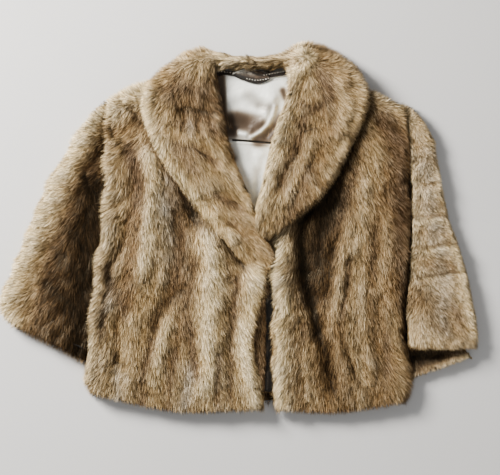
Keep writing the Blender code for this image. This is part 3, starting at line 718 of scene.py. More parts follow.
@dataclass(frozen=True)
class HairGrower:
    """The Geometry Nodes tree that grows hairs from a pelt.

    The pelt carries lay (which way hairs lie), length, cover (where they grow) and paint.
    """

    wave: float = 13.0  # mm from one sway of the hair to the next
    sway: float = 0.26  # radians that the lay sways
    scatter: float = 0.24  # radians that single hairs stray
    tuft: float = 4.0  # mm across a tuft whose tips draw together
    draw: float = 0.5  # how far tips go to their tuft's middle
    bend: float = 1.6  # the power by which hairs bend more near their tips
    floor: float = 0.6  # mm that the lowest hair keeps above the table
    sizes: tuple[float, float] = (0.7, 1.15)  # the shortest and longest hair, as shares
    rises: tuple[float, float] = (0.55, 1.5)  # the flattest and steepest, as shares of the lift

    def tree(self, blade: bpy.types.Object, look: bpy.types.Material) -> bpy.types.NodeTree:
        """Builds the tree.

        Args:
            blade: One hair of unit size, along +Y.
            look: The hairs' material.

        Returns:
            The tree, whose inputs are the hairs' density, length, width, lift and seed.
        """
        tree = bpy.data.node_groups.new("grow_hair", "GeometryNodeTree")
        face = tree.interface
        face.new_socket("Geometry", in_out="INPUT", socket_type="NodeSocketGeometry")
        for name in ("Density", "Length", "Width", "Lift"):
            face.new_socket(name, in_out="INPUT", socket_type="NodeSocketFloat")
        face.new_socket("Seed", in_out="INPUT", socket_type="NodeSocketInt")
        face.new_socket("Geometry", in_out="OUTPUT", socket_type="NodeSocketGeometry")
        given = add(tree, "NodeGroupInput").outputs
        density = maths(tree, "MULTIPLY", self.named(tree, "cover"), given["Density"])
        spread = {"Mesh": given["Geometry"], "Density": density, "Seed": given["Seed"]}
        points = add(tree, "GeometryNodeDistributePointsOnFaces", spread)
        normal = points.outputs["Normal"]
        where = add(tree, "GeometryNodeInputPosition").outputs[0]
        kept = points.outputs["Points"]
        for name, value, kind in (
            ("hair", self.chance(tree, 0.0, 1.0, given["Seed"]), "FLOAT"),
            ("root", where, "FLOAT_VECTOR"),
            ("ground", normal, "FLOAT_VECTOR"),
        ):
            values = {"Geometry": kept, "Name": name, "Value": value}
            kept = add(
                tree, "GeometryNodeStoreNamedAttribute", values, data_type=kind, domain="POINT"
            ).outputs[0]
        size = maths(tree, "MULTIPLY", self.named(tree, "length"), given["Length"])
        size = maths(tree, "MULTIPLY", size, self.chance(tree, *self.sizes, 72))
        values = {
            "Points": kept,
            "Instance": add(tree, "GeometryNodeObjectInfo", {"Object": blade}).outputs["Geometry"],
            "Rotation": self.aim(tree, normal, where, given["Lift"]),
            "Scale": add(
                tree, "ShaderNodeCombineXYZ", {0: given["Width"], 1: size, 2: size}
            ).outputs[0],
        }
        grown = add(tree, "GeometryNodeInstanceOnPoints", values).outputs[0]
        real = add(tree, "GeometryNodeRealizeInstances", {0: grown}).outputs[0]
        values = {"Geometry": real, "Position": self.tufted(tree, where)}
        moved = add(tree, "GeometryNodeSetPosition", values).outputs[0]
        values = {"Geometry": moved, "Material": look}
        dressed = add(tree, "GeometryNodeSetMaterial", values).outputs[0]
        add(tree, "NodeGroupOutput", {0: dressed})
        return tree

    def named(self, tree: bpy.types.NodeTree, name: str, kind: str = "FLOAT") -> Socket:
        """Reads a value that the mesh carries."""
        values = {"Name": name}
        return add(tree, "GeometryNodeInputNamedAttribute", values, data_type=kind).outputs[0]

    def chance(
        self, tree: bpy.types.NodeTree, low: float, high: float, seed: int | Socket
    ) -> Socket:
        """Draws a random number for each hair."""
        values = {2: low, 3: high, "Seed": seed}
        return add(tree, "FunctionNodeRandomValue", values, data_type="FLOAT").outputs[1]

    def aim(self, tree: bpy.types.NodeTree, normal: Socket, where: Socket, lift: Socket) -> Socket:
        """Works out which way each hair points.

        Args:
            tree: The tree.
            normal: The pelt's normal at its root.
            where: The place of its root.
            lift: The slope at which hairs rise.

        Returns:
            The hair's rotation.
        """
        turn = self.chance(tree, -1.0, 1.0, 71)
        lay = self.named(tree, "lay", "FLOAT_VECTOR")
        # On a steep side the lay still points out, so the fur's edge has no parting.
        facing = add(tree, "ShaderNodeSeparateXYZ", {0: normal}).outputs["Z"]
        hold = ranged(tree, facing, 0.3, 1.0, 0.0, 0.8)
        across = maths(tree, "MULTIPLY", vectors(tree, "DOT_PRODUCT", lay, normal), hold)
        flat = vectors(tree, "SUBTRACT", lay, scaled(tree, normal, across))
        flat = vectors(tree, "NORMALIZE", flat)
        swaying = noise(tree, where, self.wave)
        angle = ranged(tree, swaying, -self.sway, self.sway, 0.25, 0.75)
        angle = maths(tree, "MULTIPLY_ADD", turn, self.scatter / 2, angle)
        values = {"Vector": flat, "Axis": normal, "Angle": angle}
        swept = add(tree, "ShaderNodeVectorRotate", values, rotation_type="AXIS_ANGLE").outputs[0]
        steep = maths(tree, "MULTIPLY", lift, self.chance(tree, *self.rises, 73))
        heading = vectors(tree, "ADD", swept, scaled(tree, normal, steep))
        side = vectors(tree, "CROSS_PRODUCT", heading, normal)
        upward = vectors(tree, "ADD", normal, scaled(tree, side, turn))
        axes = {"primary_axis": "Y", "secondary_axis": "Z"}
        return add(tree, "FunctionNodeAxesToRotation", {0: heading, 1: upward}, **axes).outputs[0]

    def tufted(self, tree: bpy.types.NodeTree, where: Socket) -> Socket:
        """Draws hairs' tips to their tuft's middle and keeps them above the table.

        Args:
            tree: The tree.
            where: The place of a hair's point.

        Returns:
            Its new place.
        """
        root = self.named(tree, "root", "FLOAT_VECTOR")
        cells = add(
            tree, "ShaderNodeTexVoronoi", {"Vector": root, "Scale": 1 / (self.tuft * MM)}
        ).outputs["Position"]
        pull = vectors(tree, "SUBTRACT", cells, root)
        bend = maths(tree, "POWER", self.named(tree, "along"), self.bend)
        shift = scaled(tree, pull, maths(tree, "MULTIPLY", bend, self.draw))
        moved = vectors(tree, "ADD", where, shift)
        below_all = -9.0  # m, lower than any point, so that only the height is held
        return vectors(tree, "MAXIMUM", moved, (below_all, below_all, self.floor * MM))


def hair_blade() -> bpy.types.Object:
    """Makes one hair of unit length and width along +Y: a bent kite of two faces.

    Returns:
        Its object, which the growing tree copies and which is removed after.
    """
    widest, bow = 0.42, 0.04  # where along it is widest, and how far it bends
    mesh = bpy.data.meshes.new("blade")
    mesh.from_pydata(
        [(0, 0, 0), (-0.5, widest, bow), (0.5, widest, bow), (0, 1, -bow)],
        [],
        [(0, 2, 1), (1, 2, 3)],
    )
    keep_values(mesh, "along", "FLOAT", np.array([0.0, widest, widest, 1.0]))
    shade_smooth(mesh)
    return place("blade", mesh)


@dataclass
class FurKit:
    """What all fur panels share: the underfur's material and the tree that grows hairs."""

    underfur: bpy.types.Material
    tree: bpy.types.NodeTree


@dataclass
class FurPanel:
    """One fur panel: the pelt on its solid's form and the hairs that grow from it.

    Attributes:
        node: The solid that the panel stands for.
        slot: The record's material slot; not used.
        base: The pelt's colour under its strokes.
        strokes: Where its colour differs: the fur's own tones, painted highlight on crests, and
            painted shade in hollows and under overhangs.
        combs: How its hairs lie.
        hairs: How many hairs it has.
        hair_length: A hair's length, mm.
        hair_width: A hair's width, mm; drawn coarser than real hair so that it shows.
        lift: The slope at which hairs rise.
        body: How much of the solid's height is the pelt, and not hair.
        margin: How far in from the solid's outline the pelt stops, mm.
        reach: How much further in it stops where hairs point outwards, mm.
        under: The lowest slope of a face that hairs grow from.
        divide: How many times the solid's faces are divided.
        tufts: How high the small tufts stand, which run with the lay, mm.
        tuft_size: The distance between them, mm.
        puffs: How high the broad uneven puffs stand, mm.
        puff_size: The distance between them, mm.
        crest: The share of its strokes' relief that it has.
        streak: How far the tufts' tops are paler and their gaps darker, as a power; a painted
            highlight and painted shade.
        near: How near a comb rules the lay alone, mm.
        fade: How fast a comb's say fades with distance, as a power.
    """

    node: str
    slot: str
    base: Shade
    strokes: tuple[Stroke, ...]
    combs: tuple[Comb, ...]
    hairs: int
    hair_length: float = 14.5
    hair_width: float = 0.7
    lift: float = 0.18
    body: float = 0.82
    margin: float = 1.5
    reach: float = 8.0
    under: float = -0.3
    divide: int = 2
    tufts: float = 1.5
    tuft_size: float = 8.0
    puffs: float = 1.0
    puff_size: float = 27.0
    crest: float = 1.0
    streak: float = 0.16
    near: float = 9.0
    fade: float = 1.6

    def lie(self, points: np.ndarray) -> tuple[np.ndarray, np.ndarray]:
        """Finds how hairs lie from the combs around them.

        Args:
            points: Where the hairs grow, in metres.

        Returns:
            A flat direction and a length share for each point.
        """
        spots = flat_points(tuple(c.at for c in self.combs))
        turn = np.radians([c.heading for c in self.combs])
        gap = ((points[:, None, :2] - spots[None]) ** 2).sum(2)
        weight = 1 / (gap + (self.near * MM) ** 2) ** self.fade
        weight /= weight.sum(1, keepdims=True)
        x, y = weight @ np.cos(turn), weight @ np.sin(turn)
        size = np.maximum(np.hypot(x, y), 1e-6)
        lay = np.stack([x / size, y / size, np.zeros(len(x))], 1)
        return lay, weight @ np.array([c.length for c in self.combs])

    def pelt(self, look: bpy.types.Material) -> bpy.types.Object:
        """Makes the pelt: the solid's form, lower and narrower by its fur's depth.

        Args:
            look: The underfur's material.

        Returns:
            The pelt.
        """
        piece = solid_copy(self.node, f"{self.node}_pelt", self.divide)
        mesh = piece.data
        points = values_of(mesh.vertices, "co", 3)
        normals = values_of(mesh.vertex_normals, "vector", 3)
        upward = normals[:, 2]
        lay, length = self.lie(points)
        outward = np.maximum((lay * normals).sum(1), 0)
        inset = (self.margin + self.reach * outward) * MM
        along = (-7 * MM, 0, 7 * MM)  # tufts are averaged along the lay, which draws them out
        streak = sum(swell(points + lay * step, self.tuft_size, 5) for step in along) / 2
        rise = self.crest * relief(points, self.strokes) + self.tufts * MM * streak
        rise += self.puffs * MM * swell(points, self.puff_size, 6)
        rise *= smooth(0.2, 0.8, upward)  # none on steep sides, and none near the table below
        base = points[:, 2].min()
        points -= normals * (1, 1, 0) * inset[:, None]
        height = (points[:, 2] - base) * self.body
        points[:, 2] = base + np.maximum(height + rise * smooth(2 * MM, 9 * MM, height), 0)
        move_points(mesh, points)
        keep_values(mesh, "lay", "FLOAT_VECTOR", lay)
        keep_values(mesh, "length", "FLOAT", length)
        keep_values(mesh, "cover", "FLOAT", smooth(self.under, self.under + 0.25, upward))
        colours = painted(points, self.base, self.strokes)
        # Painted highlight on the tufts' tops and painted shade in their gaps.
        colours[:, :3] **= 1 - self.streak * streak[:, None]
        dress(mesh, look, colours)
        return piece

    def grow(self, pelt: bpy.types.Object, tree: bpy.types.NodeTree, seed: int) -> bpy.types.Object:
        """Grows the hairs.

        Args:
            pelt: The pelt that they grow from.
            tree: The growing tree.
            seed: The seed of their scatter.

        Returns:
            The hairs as one plain mesh.
        """
        mesh = pelt.data
        first_corner = values_of(mesh.polygons, "loop_start").astype(int)
        corner_point = values_of(mesh.loops, "vertex_index").astype(int)
        cover = values_of(mesh.attributes["cover"].data, "value")[corner_point[first_corner]]
        furred = float((values_of(mesh.polygons, "area") * cover).sum())
        piece = place(f"{self.node}_hair", mesh.copy())
        wanted = {
            "Density": self.hairs / furred,
            "Length": self.hair_length * MM,
            "Width": self.hair_width * MM,
            "Lift": self.lift,
            "Seed": seed,
        }
        run_nodes(piece, tree, wanted)
        return piece

    def build(self, kit: FurKit, seed: int) -> None:
        """Makes, attaches and dresses the panel.

        Args:
            kit: The fur's materials and tree.
            seed: The seed of its hairs.
        """
        pelt = self.pelt(kit.underfur)
        hair = self.grow(pelt, kit.tree, seed)
        declare_sheet(pelt, self.node, [hair])
        hairs = len(hair.data.polygons) // 2
        log.info("%s: %d hairs, %d faces of pelt", self.node, hairs, len(pelt.data.polygons))


# --- lining, braid and label ---------------------------------------------------------


@dataclass(frozen=True)
class Fold:
    """A soft ridge (rise above 0) or trough of the satin, in mm, along a path."""

    rise: float
    width: float
    path: Path2D


@dataclass
class SatinLining:
    """The satin that lines the back, seen in the neck and between the fronts."""

    node: str = "lining"
    divide: int = 4
    strokes: tuple[Stroke, ...] = (
        # Painted shadow in the slit between the fronts, with thin grey MIST streaks painted where
        # the satin catches a little light.
        Stroke(Shade.UMBER, 30, 1.0, ((51, -25.1), (47.9, -75.4)), 6.0),
        Stroke(Shade.SOOT, 34, 1.0, ((47.9, -128.7), (41.6, -175.8), (47.9, -277.9)), 6.0),
        Stroke(Shade.MIST, 1.6, 0.8, ((43.2, -94.2), (44.7, -119.3))),
        Stroke(Shade.MIST, 2.2, 0.75, ((35.3, -169.6), (38.5, -153.9), (41.6, -142.9))),
        Stroke(Shade.MIST, 1.8, 0.6, ((44.7, -182.1), (43.2, -201))),
        Stroke(Shade.MIST, 1.6, 0.7, ((44.7, -226.1), (43.2, -254.3))),
        # Painted shade where the satin meets the collar strip at the back neck, and a painted
        # shadow band beside the right collar.
        Stroke(Shade.UMBER, 5.5, 1.0, ((-43.2, 249.6), (16.5, 248.1), (79.3, 251.2)), 6.0),
        Stroke(Shade.TAUPE, 11, 1.0, ((-33.8, 238.6), (-32.2, 201), (-30.6, 172.7)), 6.0),
        # Grey MIST runs here are painted shade on the satin.
        Stroke(Shade.MIST, 9, 0.45, ((13.3, 210.4), (25.9, 199.4), (38.5, 191.5))),
        Stroke(Shade.MIST, 6, 0.85, ((30.6, 193.1), (41.6, 190), (54.2, 190))),
        Stroke(Shade.MIST, 7, 0.8, ((-5.5, 175.8), (13.3, 174.3), (30.6, 172.7)), 3.0),
        # TAUPE patches down to here are painted reflection and shade in the satin's hollow and near
        # its edge.
        Stroke(Shade.TAUPE, 12, 0.97, ((-29, 168), (-5.5, 172.7), (16.5, 166.4), (32.2, 160.1)),
            3.0),
        Stroke(Shade.TAUPE, 11, 0.97, ((-30.6, 152.3), (-5.5, 153.9), (18.1, 153.9)), 3.0),
        Stroke(Shade.TAUPE, 11, 0.97, ((30.6, 138.2), (44.7, 144.4), (57.3, 155.4), (68.3, 171.1)),
            3.0),
        Stroke(Shade.TAUPE, 5, 0.9, ((68.3, 216.7), (73, 205.7))),
        # SILVER runs are painted highlight on the folds' crests.
        Stroke(Shade.SILVER, 3.6, 1.0, ((55.7, 191.5), (52.6, 177.4), (44.7, 163.3), (33.8, 152.3),
            (18.1, 142.9)), 2.0),
        Stroke(Shade.SILVER, 6.5, 1.0, ((0.8, 149.2), (8.6, 147.6))),
        # Painted shadow below the yoke seam's left end, the seam's painted shadow line under its
        # folded edge, and a painted highlight along that edge.
        Stroke(Shade.TAUPE, 7, 0.8, ((-27.5, 135), (-18.1, 122.5), (-11.8, 109.9))),
        Stroke(Shade.SOOT, 1.6, 1.0, ((-10.2, 138.8), (16.5, 136.9), (57.3, 133.5)), 5.0),
        Stroke(Shade.MIST, 1.3, 1.0, ((-30.6, 142.9), (-8.6, 140.7))),
        # A faint painted shade low on the satin.
        Stroke(Shade.MIST, 7, 0.25, ((29, 91.1), (35.3, 59.7), (25.9, 25.1))),
    )
    folds: tuple[Fold, ...] = (
        Fold(2.0, 9, ((-14.9, 207.2), (16.5, 213.5), (51, 204.1))),
        Fold(1.6, 6, ((-5.5, 188.4), (19.6, 185.3), (41.6, 182.1))),
        Fold(-3.0, 12, ((-21.2, 163.3), (0.8, 160.1), (19.6, 158.6))),
        Fold(2.4, 3.6, ((55.7, 191.5), (52.6, 177.4), (44.7, 163.3), (33.8, 152.3), (18.1, 142.9))),
        Fold(1.8, 4, ((0.8, 149.2), (8.6, 147.6))),
        Fold(-2.0, 5, ((54.2, 160.1), (41.6, 142.9))),
        Fold(-1.2, 1.6, ((-27.5, 140.5), (16.5, 136.9), (57.3, 133.5))),
        Fold(1.2, 2.0, ((-27.5, 136.6), (16.5, 132.8), (57.3, 129.4))),
        Fold(1.5, 8, ((-2.4, 109.9), (13.3, 67.5), (22.8, 28.3))),
        Fold(-1.0, 6, ((35.3, 106.8), (29, 67.5))),
    )

    def build(self) -> None:
        """Makes, attaches and dresses the lining."""
        piece = solid_copy(self.node, "satin_lining", self.divide)
        mesh = piece.data
        points = values_of(mesh.vertices, "co", 3)
        rise = np.zeros(len(points))
        for fold in self.folds:
            gap = off_path(points, fold.path) / (fold.width * MM)
            rise += fold.rise * MM * np.exp(-(gap**2))
        points[:, 2] += rise
        move_points(mesh, points)
        dress(mesh, AcetateSatin().material(), painted(points, Shade.SILVER, self.strokes))
        declare_sheet(piece, self.node, [])
        log.info("satin lining: %d faces", len(mesh.polygons))


def run_of(path: np.ndarray) -> tuple[np.ndarray, np.ndarray]:
    """Finds the directions along and across a path.

    Args:
        path: The path's points, in metres.

    Returns:
        The flat direction across it, and the one along it, at each point.
    """
    along = np.gradient(path, axis=0)
    along /= np.linalg.norm(along, axis=1, keepdims=True)
    return np.cross(along, (0, 0, 1)), along


def swept(paths: list[np.ndarray], radius: float, sides: int = 6) -> bpy.types.Mesh:
    """Makes round cords along paths.

    Args:
        paths: Each cord's points, in metres.
        radius: The cords' radius, in metres.
        sides: The faces round a cord.

    Returns:
        One mesh of closed cords.
    """
    points, faces = [], []
    turn = np.linspace(0, 2 * np.pi, sides, endpoint=False)
    for path in paths:
        first = len(points)
        across, along = run_of(path)
        across /= np.linalg.norm(across, axis=1, keepdims=True)
        for spot, right, top in zip(path, across, np.cross(across, along)):
            points += [tuple(spot + radius * (np.cos(a) * right + np.sin(a) * top)) for a in turn]
        for row in range(len(path) - 1):
            for side in range(sides):
                a, b = first + row * sides + side, first + row * sides + (side + 1) % sides
                faces.append((a, b, b + sides, a + sides))
        faces.append(tuple(range(first, first + sides))[::-1])
        faces.append(tuple(range(len(points) - sides, len(points))))
    mesh = bpy.data.meshes.new("cord")
    mesh.from_pydata(points, [], faces)
    mesh.validate()
    shade_smooth(mesh)
    return mesh


def even_path(path: Path2D, height: float, step: float) -> np.ndarray:
    """Gives a path's points at even steps.

    Args:
        path: The path seen from above.
        height: Its height, in mm.
        step: The distance between points, in mm.

    Returns:
        The points, in metres.
    """
    flat = flat_points(path)
    run = np.concatenate([[0], np.cumsum(np.linalg.norm(np.diff(flat, axis=0), axis=1))])
    spots = np.linspace(0, run[-1], int(run[-1] / (step * MM)) + 1)
    x, y = np.interp(spots, run, flat[:, 0]), np.interp(spots, run, flat[:, 1])
    return np.stack([x, y, np.full(len(x), height * MM)], 1)


@dataclass
class StitchRow:
    """A row of small slanting stitches, laid along a path by Geometry Nodes.

    Attributes:
        name: The row's name.
        path: Where it runs.
        height: How high it lies, mm.
        pitch: From one stitch to the next, mm.
        size: A stitch's length and width, mm.
        slant: How far stitches lean from the row, degrees, by turns to each side.
    """

    name: str
    path: Path2D
    height: float
    pitch: float = 4.0
    size: tuple[float, float] = (2.6, 1.5)
    slant: float = 32.0

    def tree(self, stitch: bpy.types.Object, look: bpy.types.Material) -> bpy.types.NodeTree:
        """Builds the tree that lays stitches along an edge path.

        Args:
            stitch: One stitch along +X.
            look: The thread's material.

        Returns:
            The tree.
        """
        tree = bpy.data.node_groups.new("sew_stitches", "GeometryNodeTree")
        tree.interface.new_socket("Geometry", in_out="INPUT", socket_type="NodeSocketGeometry")
        tree.interface.new_socket("Pitch", in_out="INPUT", socket_type="NodeSocketFloat")
        tree.interface.new_socket("Geometry", in_out="OUTPUT", socket_type="NodeSocketGeometry")
        given = add(tree, "NodeGroupInput").outputs
        line = add(tree, "GeometryNodeMeshToCurve", {0: given["Geometry"]}).outputs[0]
        values = {"Curve": line, "Length": given["Pitch"]}
        spots = add(tree, "GeometryNodeResampleCurve", values, mode="LENGTH").outputs[0]
        number = add(tree, "GeometryNodeInputIndex").outputs[0]
        slant = math.radians(self.slant)
        values = {
            "Vector": add(tree, "GeometryNodeInputTangent").outputs[0],
            "Axis": (0.0, 0.0, 1.0),
            "Angle": ranged(tree, maths(tree, "MODULO", number, 2.0), -slant, slant),
        }
        way = add(tree, "ShaderNodeVectorRotate", values, rotation_type="AXIS_ANGLE").outputs[0]
        axes = {"primary_axis": "X", "secondary_axis": "Z"}
        values = {
            "Points": spots,
            "Instance": add(tree, "GeometryNodeObjectInfo", {"Object": stitch}).outputs["Geometry"],
            "Rotation": add(
                tree, "FunctionNodeAxesToRotation", {0: way, 1: (0.0, 0.0, 1.0)}, **axes
            ).outputs[0],
        }
        sewn = add(tree, "GeometryNodeInstanceOnPoints", values).outputs[0]
        real = add(tree, "GeometryNodeRealizeInstances", {0: sewn}).outputs[0]
        values = {"Geometry": real, "Material": look}
        dressed = add(tree, "GeometryNodeSetMaterial", values).outputs[0]
        add(tree, "NodeGroupOutput", {0: dressed})
        return tree

    def build(self, look: bpy.types.Material) -> None:
        """Makes, attaches and dresses the row.

        Args:
            look: The thread's material.
        """
        shape = bmesh.new()
        bmesh.ops.create_uvsphere(shape, u_segments=6, v_segments=4, radius=0.5)
        length, width = self.size
        bmesh.ops.scale(shape, vec=(length * MM, width * MM, width * MM), verts=shape.verts)
        mesh = bpy.data.meshes.new("stitch")
        shape.to_mesh(mesh)
        shape.free()
        shade_smooth(mesh)
        stitch = place("stitch", mesh)
        points = even_path(self.path, self.height, step=3.0)
        line = bpy.data.meshes.new(self.name)
        line.from_pydata(points.tolist(), [(i, i + 1) for i in range(len(points) - 1)], [])
        piece = place(self.name, line)
        run_nodes(piece, self.tree(stitch, look), {"Pitch": self.pitch * MM})
        bpy.data.objects.remove(stitch)
        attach(piece, BODY)


@dataclass
class NeckBraid:
    """The plaited black braid along the back neck, caught down with white stitches.

    Attributes:
        node: The solid that it stands for.
        path: Where it runs.
        plait: From one plait to the next, mm.
        spread: How far the strands go to each side, mm.
        rise: How far they go up and down, mm.
        strand: A strand's radius, mm.
        step: The distance between a strand's points, mm.
        rows: Its rows of stitches, each a path and a height in mm.
    """

    node: str = "neck_braid"
    path: Path2D = (
        (-41.6, 245.9), (-21.2, 244.6), (0.8, 241.2), (24.3, 238.6), (47.9, 239.9), (77.7, 244.6),
    )
    plait: float = 11.0
    spread: float = 2.5
    rise: float = 0.45
    strand: float = 1.2
    step: float = 0.7
    rows: tuple[tuple[Path2D, float], ...] = (
        (((-41.6, 247.4), (-24.3, 246.2), (-10.2, 244.3)), 15.4),
        (((38.5, 240.8), (57.3, 244.3), (77.7, 248.4)), 15.4),
        (((41.6, 234.9), (60.4, 238), (77.7, 241.2)), 15.4),
        (((11.8, 235.2), (25.9, 232.4), (41.6, 234.2)), 16.6),
    )

    def build(self) -> None:
        """Makes, attaches and dresses the braid and its stitches."""
        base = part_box(self.node)[0].z / MM + self.strand + self.rise
        line = even_path(self.path, base, self.step)
        side, _ = run_of(line)
        phase = np.arange(len(line)) * self.step / self.plait * 2 * np.pi
        strands = []
        for turn in (0, 2 * np.pi / 3, 4 * np.pi / 3):
            strand = line + side * (self.spread * MM * np.sin(phase + turn))[:, None]
            strand[:, 2] += self.rise * MM * np.sin(2 * (phase + turn))
            strands.append(strand)
        piece = place("black_braid", swept(strands, self.strand * MM))
        piece.data.materials.append(CottonYarn("black_cotton_braid", "#241d17", 1.6).material())
        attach(piece, BODY)
        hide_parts(self.node)
        thread = CottonYarn("white_sewing_thread", "#e9e4d8", 0.5).material()
        for number, (path, height) in enumerate(self.rows):
            StitchRow(f"braid_stitches_{number}", path, height).build(thread)
        log.info("neck braid: %d faces", len(piece.data.polygons))


@dataclass
class PlainLabel:
    """The plain dark label at the back neck, with a piped rim that catches the light, as painted
    highlight along its top.

    Attributes:
        node: The solid that it stands for.
        top: Its upper edge, from tip to tip.
        bottom: Its lower edge, from tip to tip.
        columns: The points along an edge.
        lines: The points from edge to edge.
        dome: How far its middle swells, mm.
        thick: Its thickness, mm.
        rim: The piping's radius, mm.
        over: How high its middle line is over the cloth's edge, mm.
        strokes: The cloth's colours, with painted highlight along its top and darker runs lower
            down.
        rim_strokes: The piping's colours, with painted highlight along its top.
    """

    node: str = "label"
    top: Path2D = (
        (-10.8, 242.4), (-2.4, 247.1), (9.7, 250.3), (21.2, 249.8), (33.8, 247.4), (41.6, 243.4),
        (48.2, 237.1),
    )
    bottom: Path2D = (
        (-11.1, 241.8), (-2.4, 236.8), (8.6, 232.7), (18.1, 229.5), (25.9, 228), (33.8, 228.6),
        (41.6, 231.7), (48.5, 236.4),
    )
    columns: int = 48
    lines: int = 14
    dome: float = 1.5
    thick: float = 0.7
    rim: float = 1.0
    over: float = 0.2
    strokes: tuple[Stroke, ...] = (
        # Painted highlight along the top; darker SOOT runs across the lower part.
        Stroke(Shade.MIST, 4.5, 0.9, ((-2.4, 244.1), (10.2, 244.9), (22.8, 243.4))),
        Stroke(Shade.SILVER, 2.6, 0.8, ((-3.9, 245.7), (8.6, 248.8), (19.6, 248.1))),
        Stroke(Shade.SOOT, 3.4, 0.9, ((-8.6, 241), (10.2, 235.5), (25.9, 230.8), (41.6, 232.4))),
        Stroke(Shade.SOOT, 1.6, 0.6, ((16.5, 248.1), (25.9, 241.8), (38.5, 240.2))),
    )
    rim_strokes: tuple[Stroke, ...] = (
        # Painted highlight along the piping's top.
        Stroke(Shade.SILVER, 2.5, 0.95, ((-10.2, 243.4), (-2.4, 248.1), (10.2, 251.2),
            (24.3, 249.6)), 4.0),
        Stroke(Shade.MIST, 3, 0.6, ((29, 248.1), (38.5, 244.9))),
    )

    def edge(self, path: Path2D) -> np.ndarray:
        """Spaces an edge's points evenly, one for each column.

        Args:
            path: The edge.

        Returns:
            The points seen from above, from tip to tip, in metres.
        """
        flat = flat_points(path)
        x = np.linspace(flat[0, 0], flat[-1, 0], self.columns)
        return np.stack([x, np.interp(x, flat[:, 0], flat[:, 1])], 1)

    def cloth(self, top: np.ndarray, bottom: np.ndarray, low: float) -> bpy.types.Mesh:
        """Makes the label's domed cloth.

        Args:
            top: The upper edge's points.
            bottom: The lower edge's points.
            low: The height of its rim, in metres.

        Returns:
            The open mesh.
        """
        share = np.linspace(0, 1, self.lines)[:, None, None]
        grid = bottom * (1 - share) + top * share
        reach = np.linspace(-1, 1, self.columns)[None, :]
        swelling = (1 - reach**2) * (1 - (2 * share[:, :, 0] - 1) ** 2)
        height = low + self.dome * MM * swelling
        points = np.concatenate([grid, height[:, :, None]], 2).reshape(-1, 3)
        starts = [
            row * self.columns + column
            for row in range(self.lines - 1)
            for column in range(self.columns - 1)
        ]
        faces = [(a, a + 1, a + 1 + self.columns, a + self.columns) for a in starts]
        mesh = bpy.data.meshes.new("plain_label")
        mesh.from_pydata(points.tolist(), [], faces)
        return mesh

    def build(self) -> None:
        """Makes, attaches and dresses the label."""
        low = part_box(self.node)[0].z + self.thick * MM
        top, bottom = self.edge(self.top), self.edge(self.bottom)
        piece = place("plain_label", self.cloth(top, bottom, low))
        shell = piece.modifiers.new("shell", "SOLIDIFY")
        shell.thickness = self.thick * MM
        shell.offset = -1
        make_plain(piece)
        mesh = piece.data
        points = values_of(mesh.vertices, "co", 3)
        ribbon = WovenRibbon("dark_woven_ribbon").material()
        dress(mesh, ribbon, painted(points, Shade.TAUPE, self.strokes))
        ring = np.concatenate([bottom, top[::-1][1:-1]])
        ring = np.column_stack([ring, np.full(len(ring), low + self.over * MM)])
        cord = swept([ring], self.rim * MM, 8)
        points = values_of(cord.vertices, "co", 3)
        satin = AcetateSatin("satin_piping").material()
        dress(cord, satin, painted(points, Shade.SOOT, self.rim_strokes))
        declare_sheet(piece, self.node, [place("label_piping", cord)])
        log.info("label: %d faces", len(mesh.polygons))


# --- the panels' colours, painted light and lay --------------------------------------

S = Shade

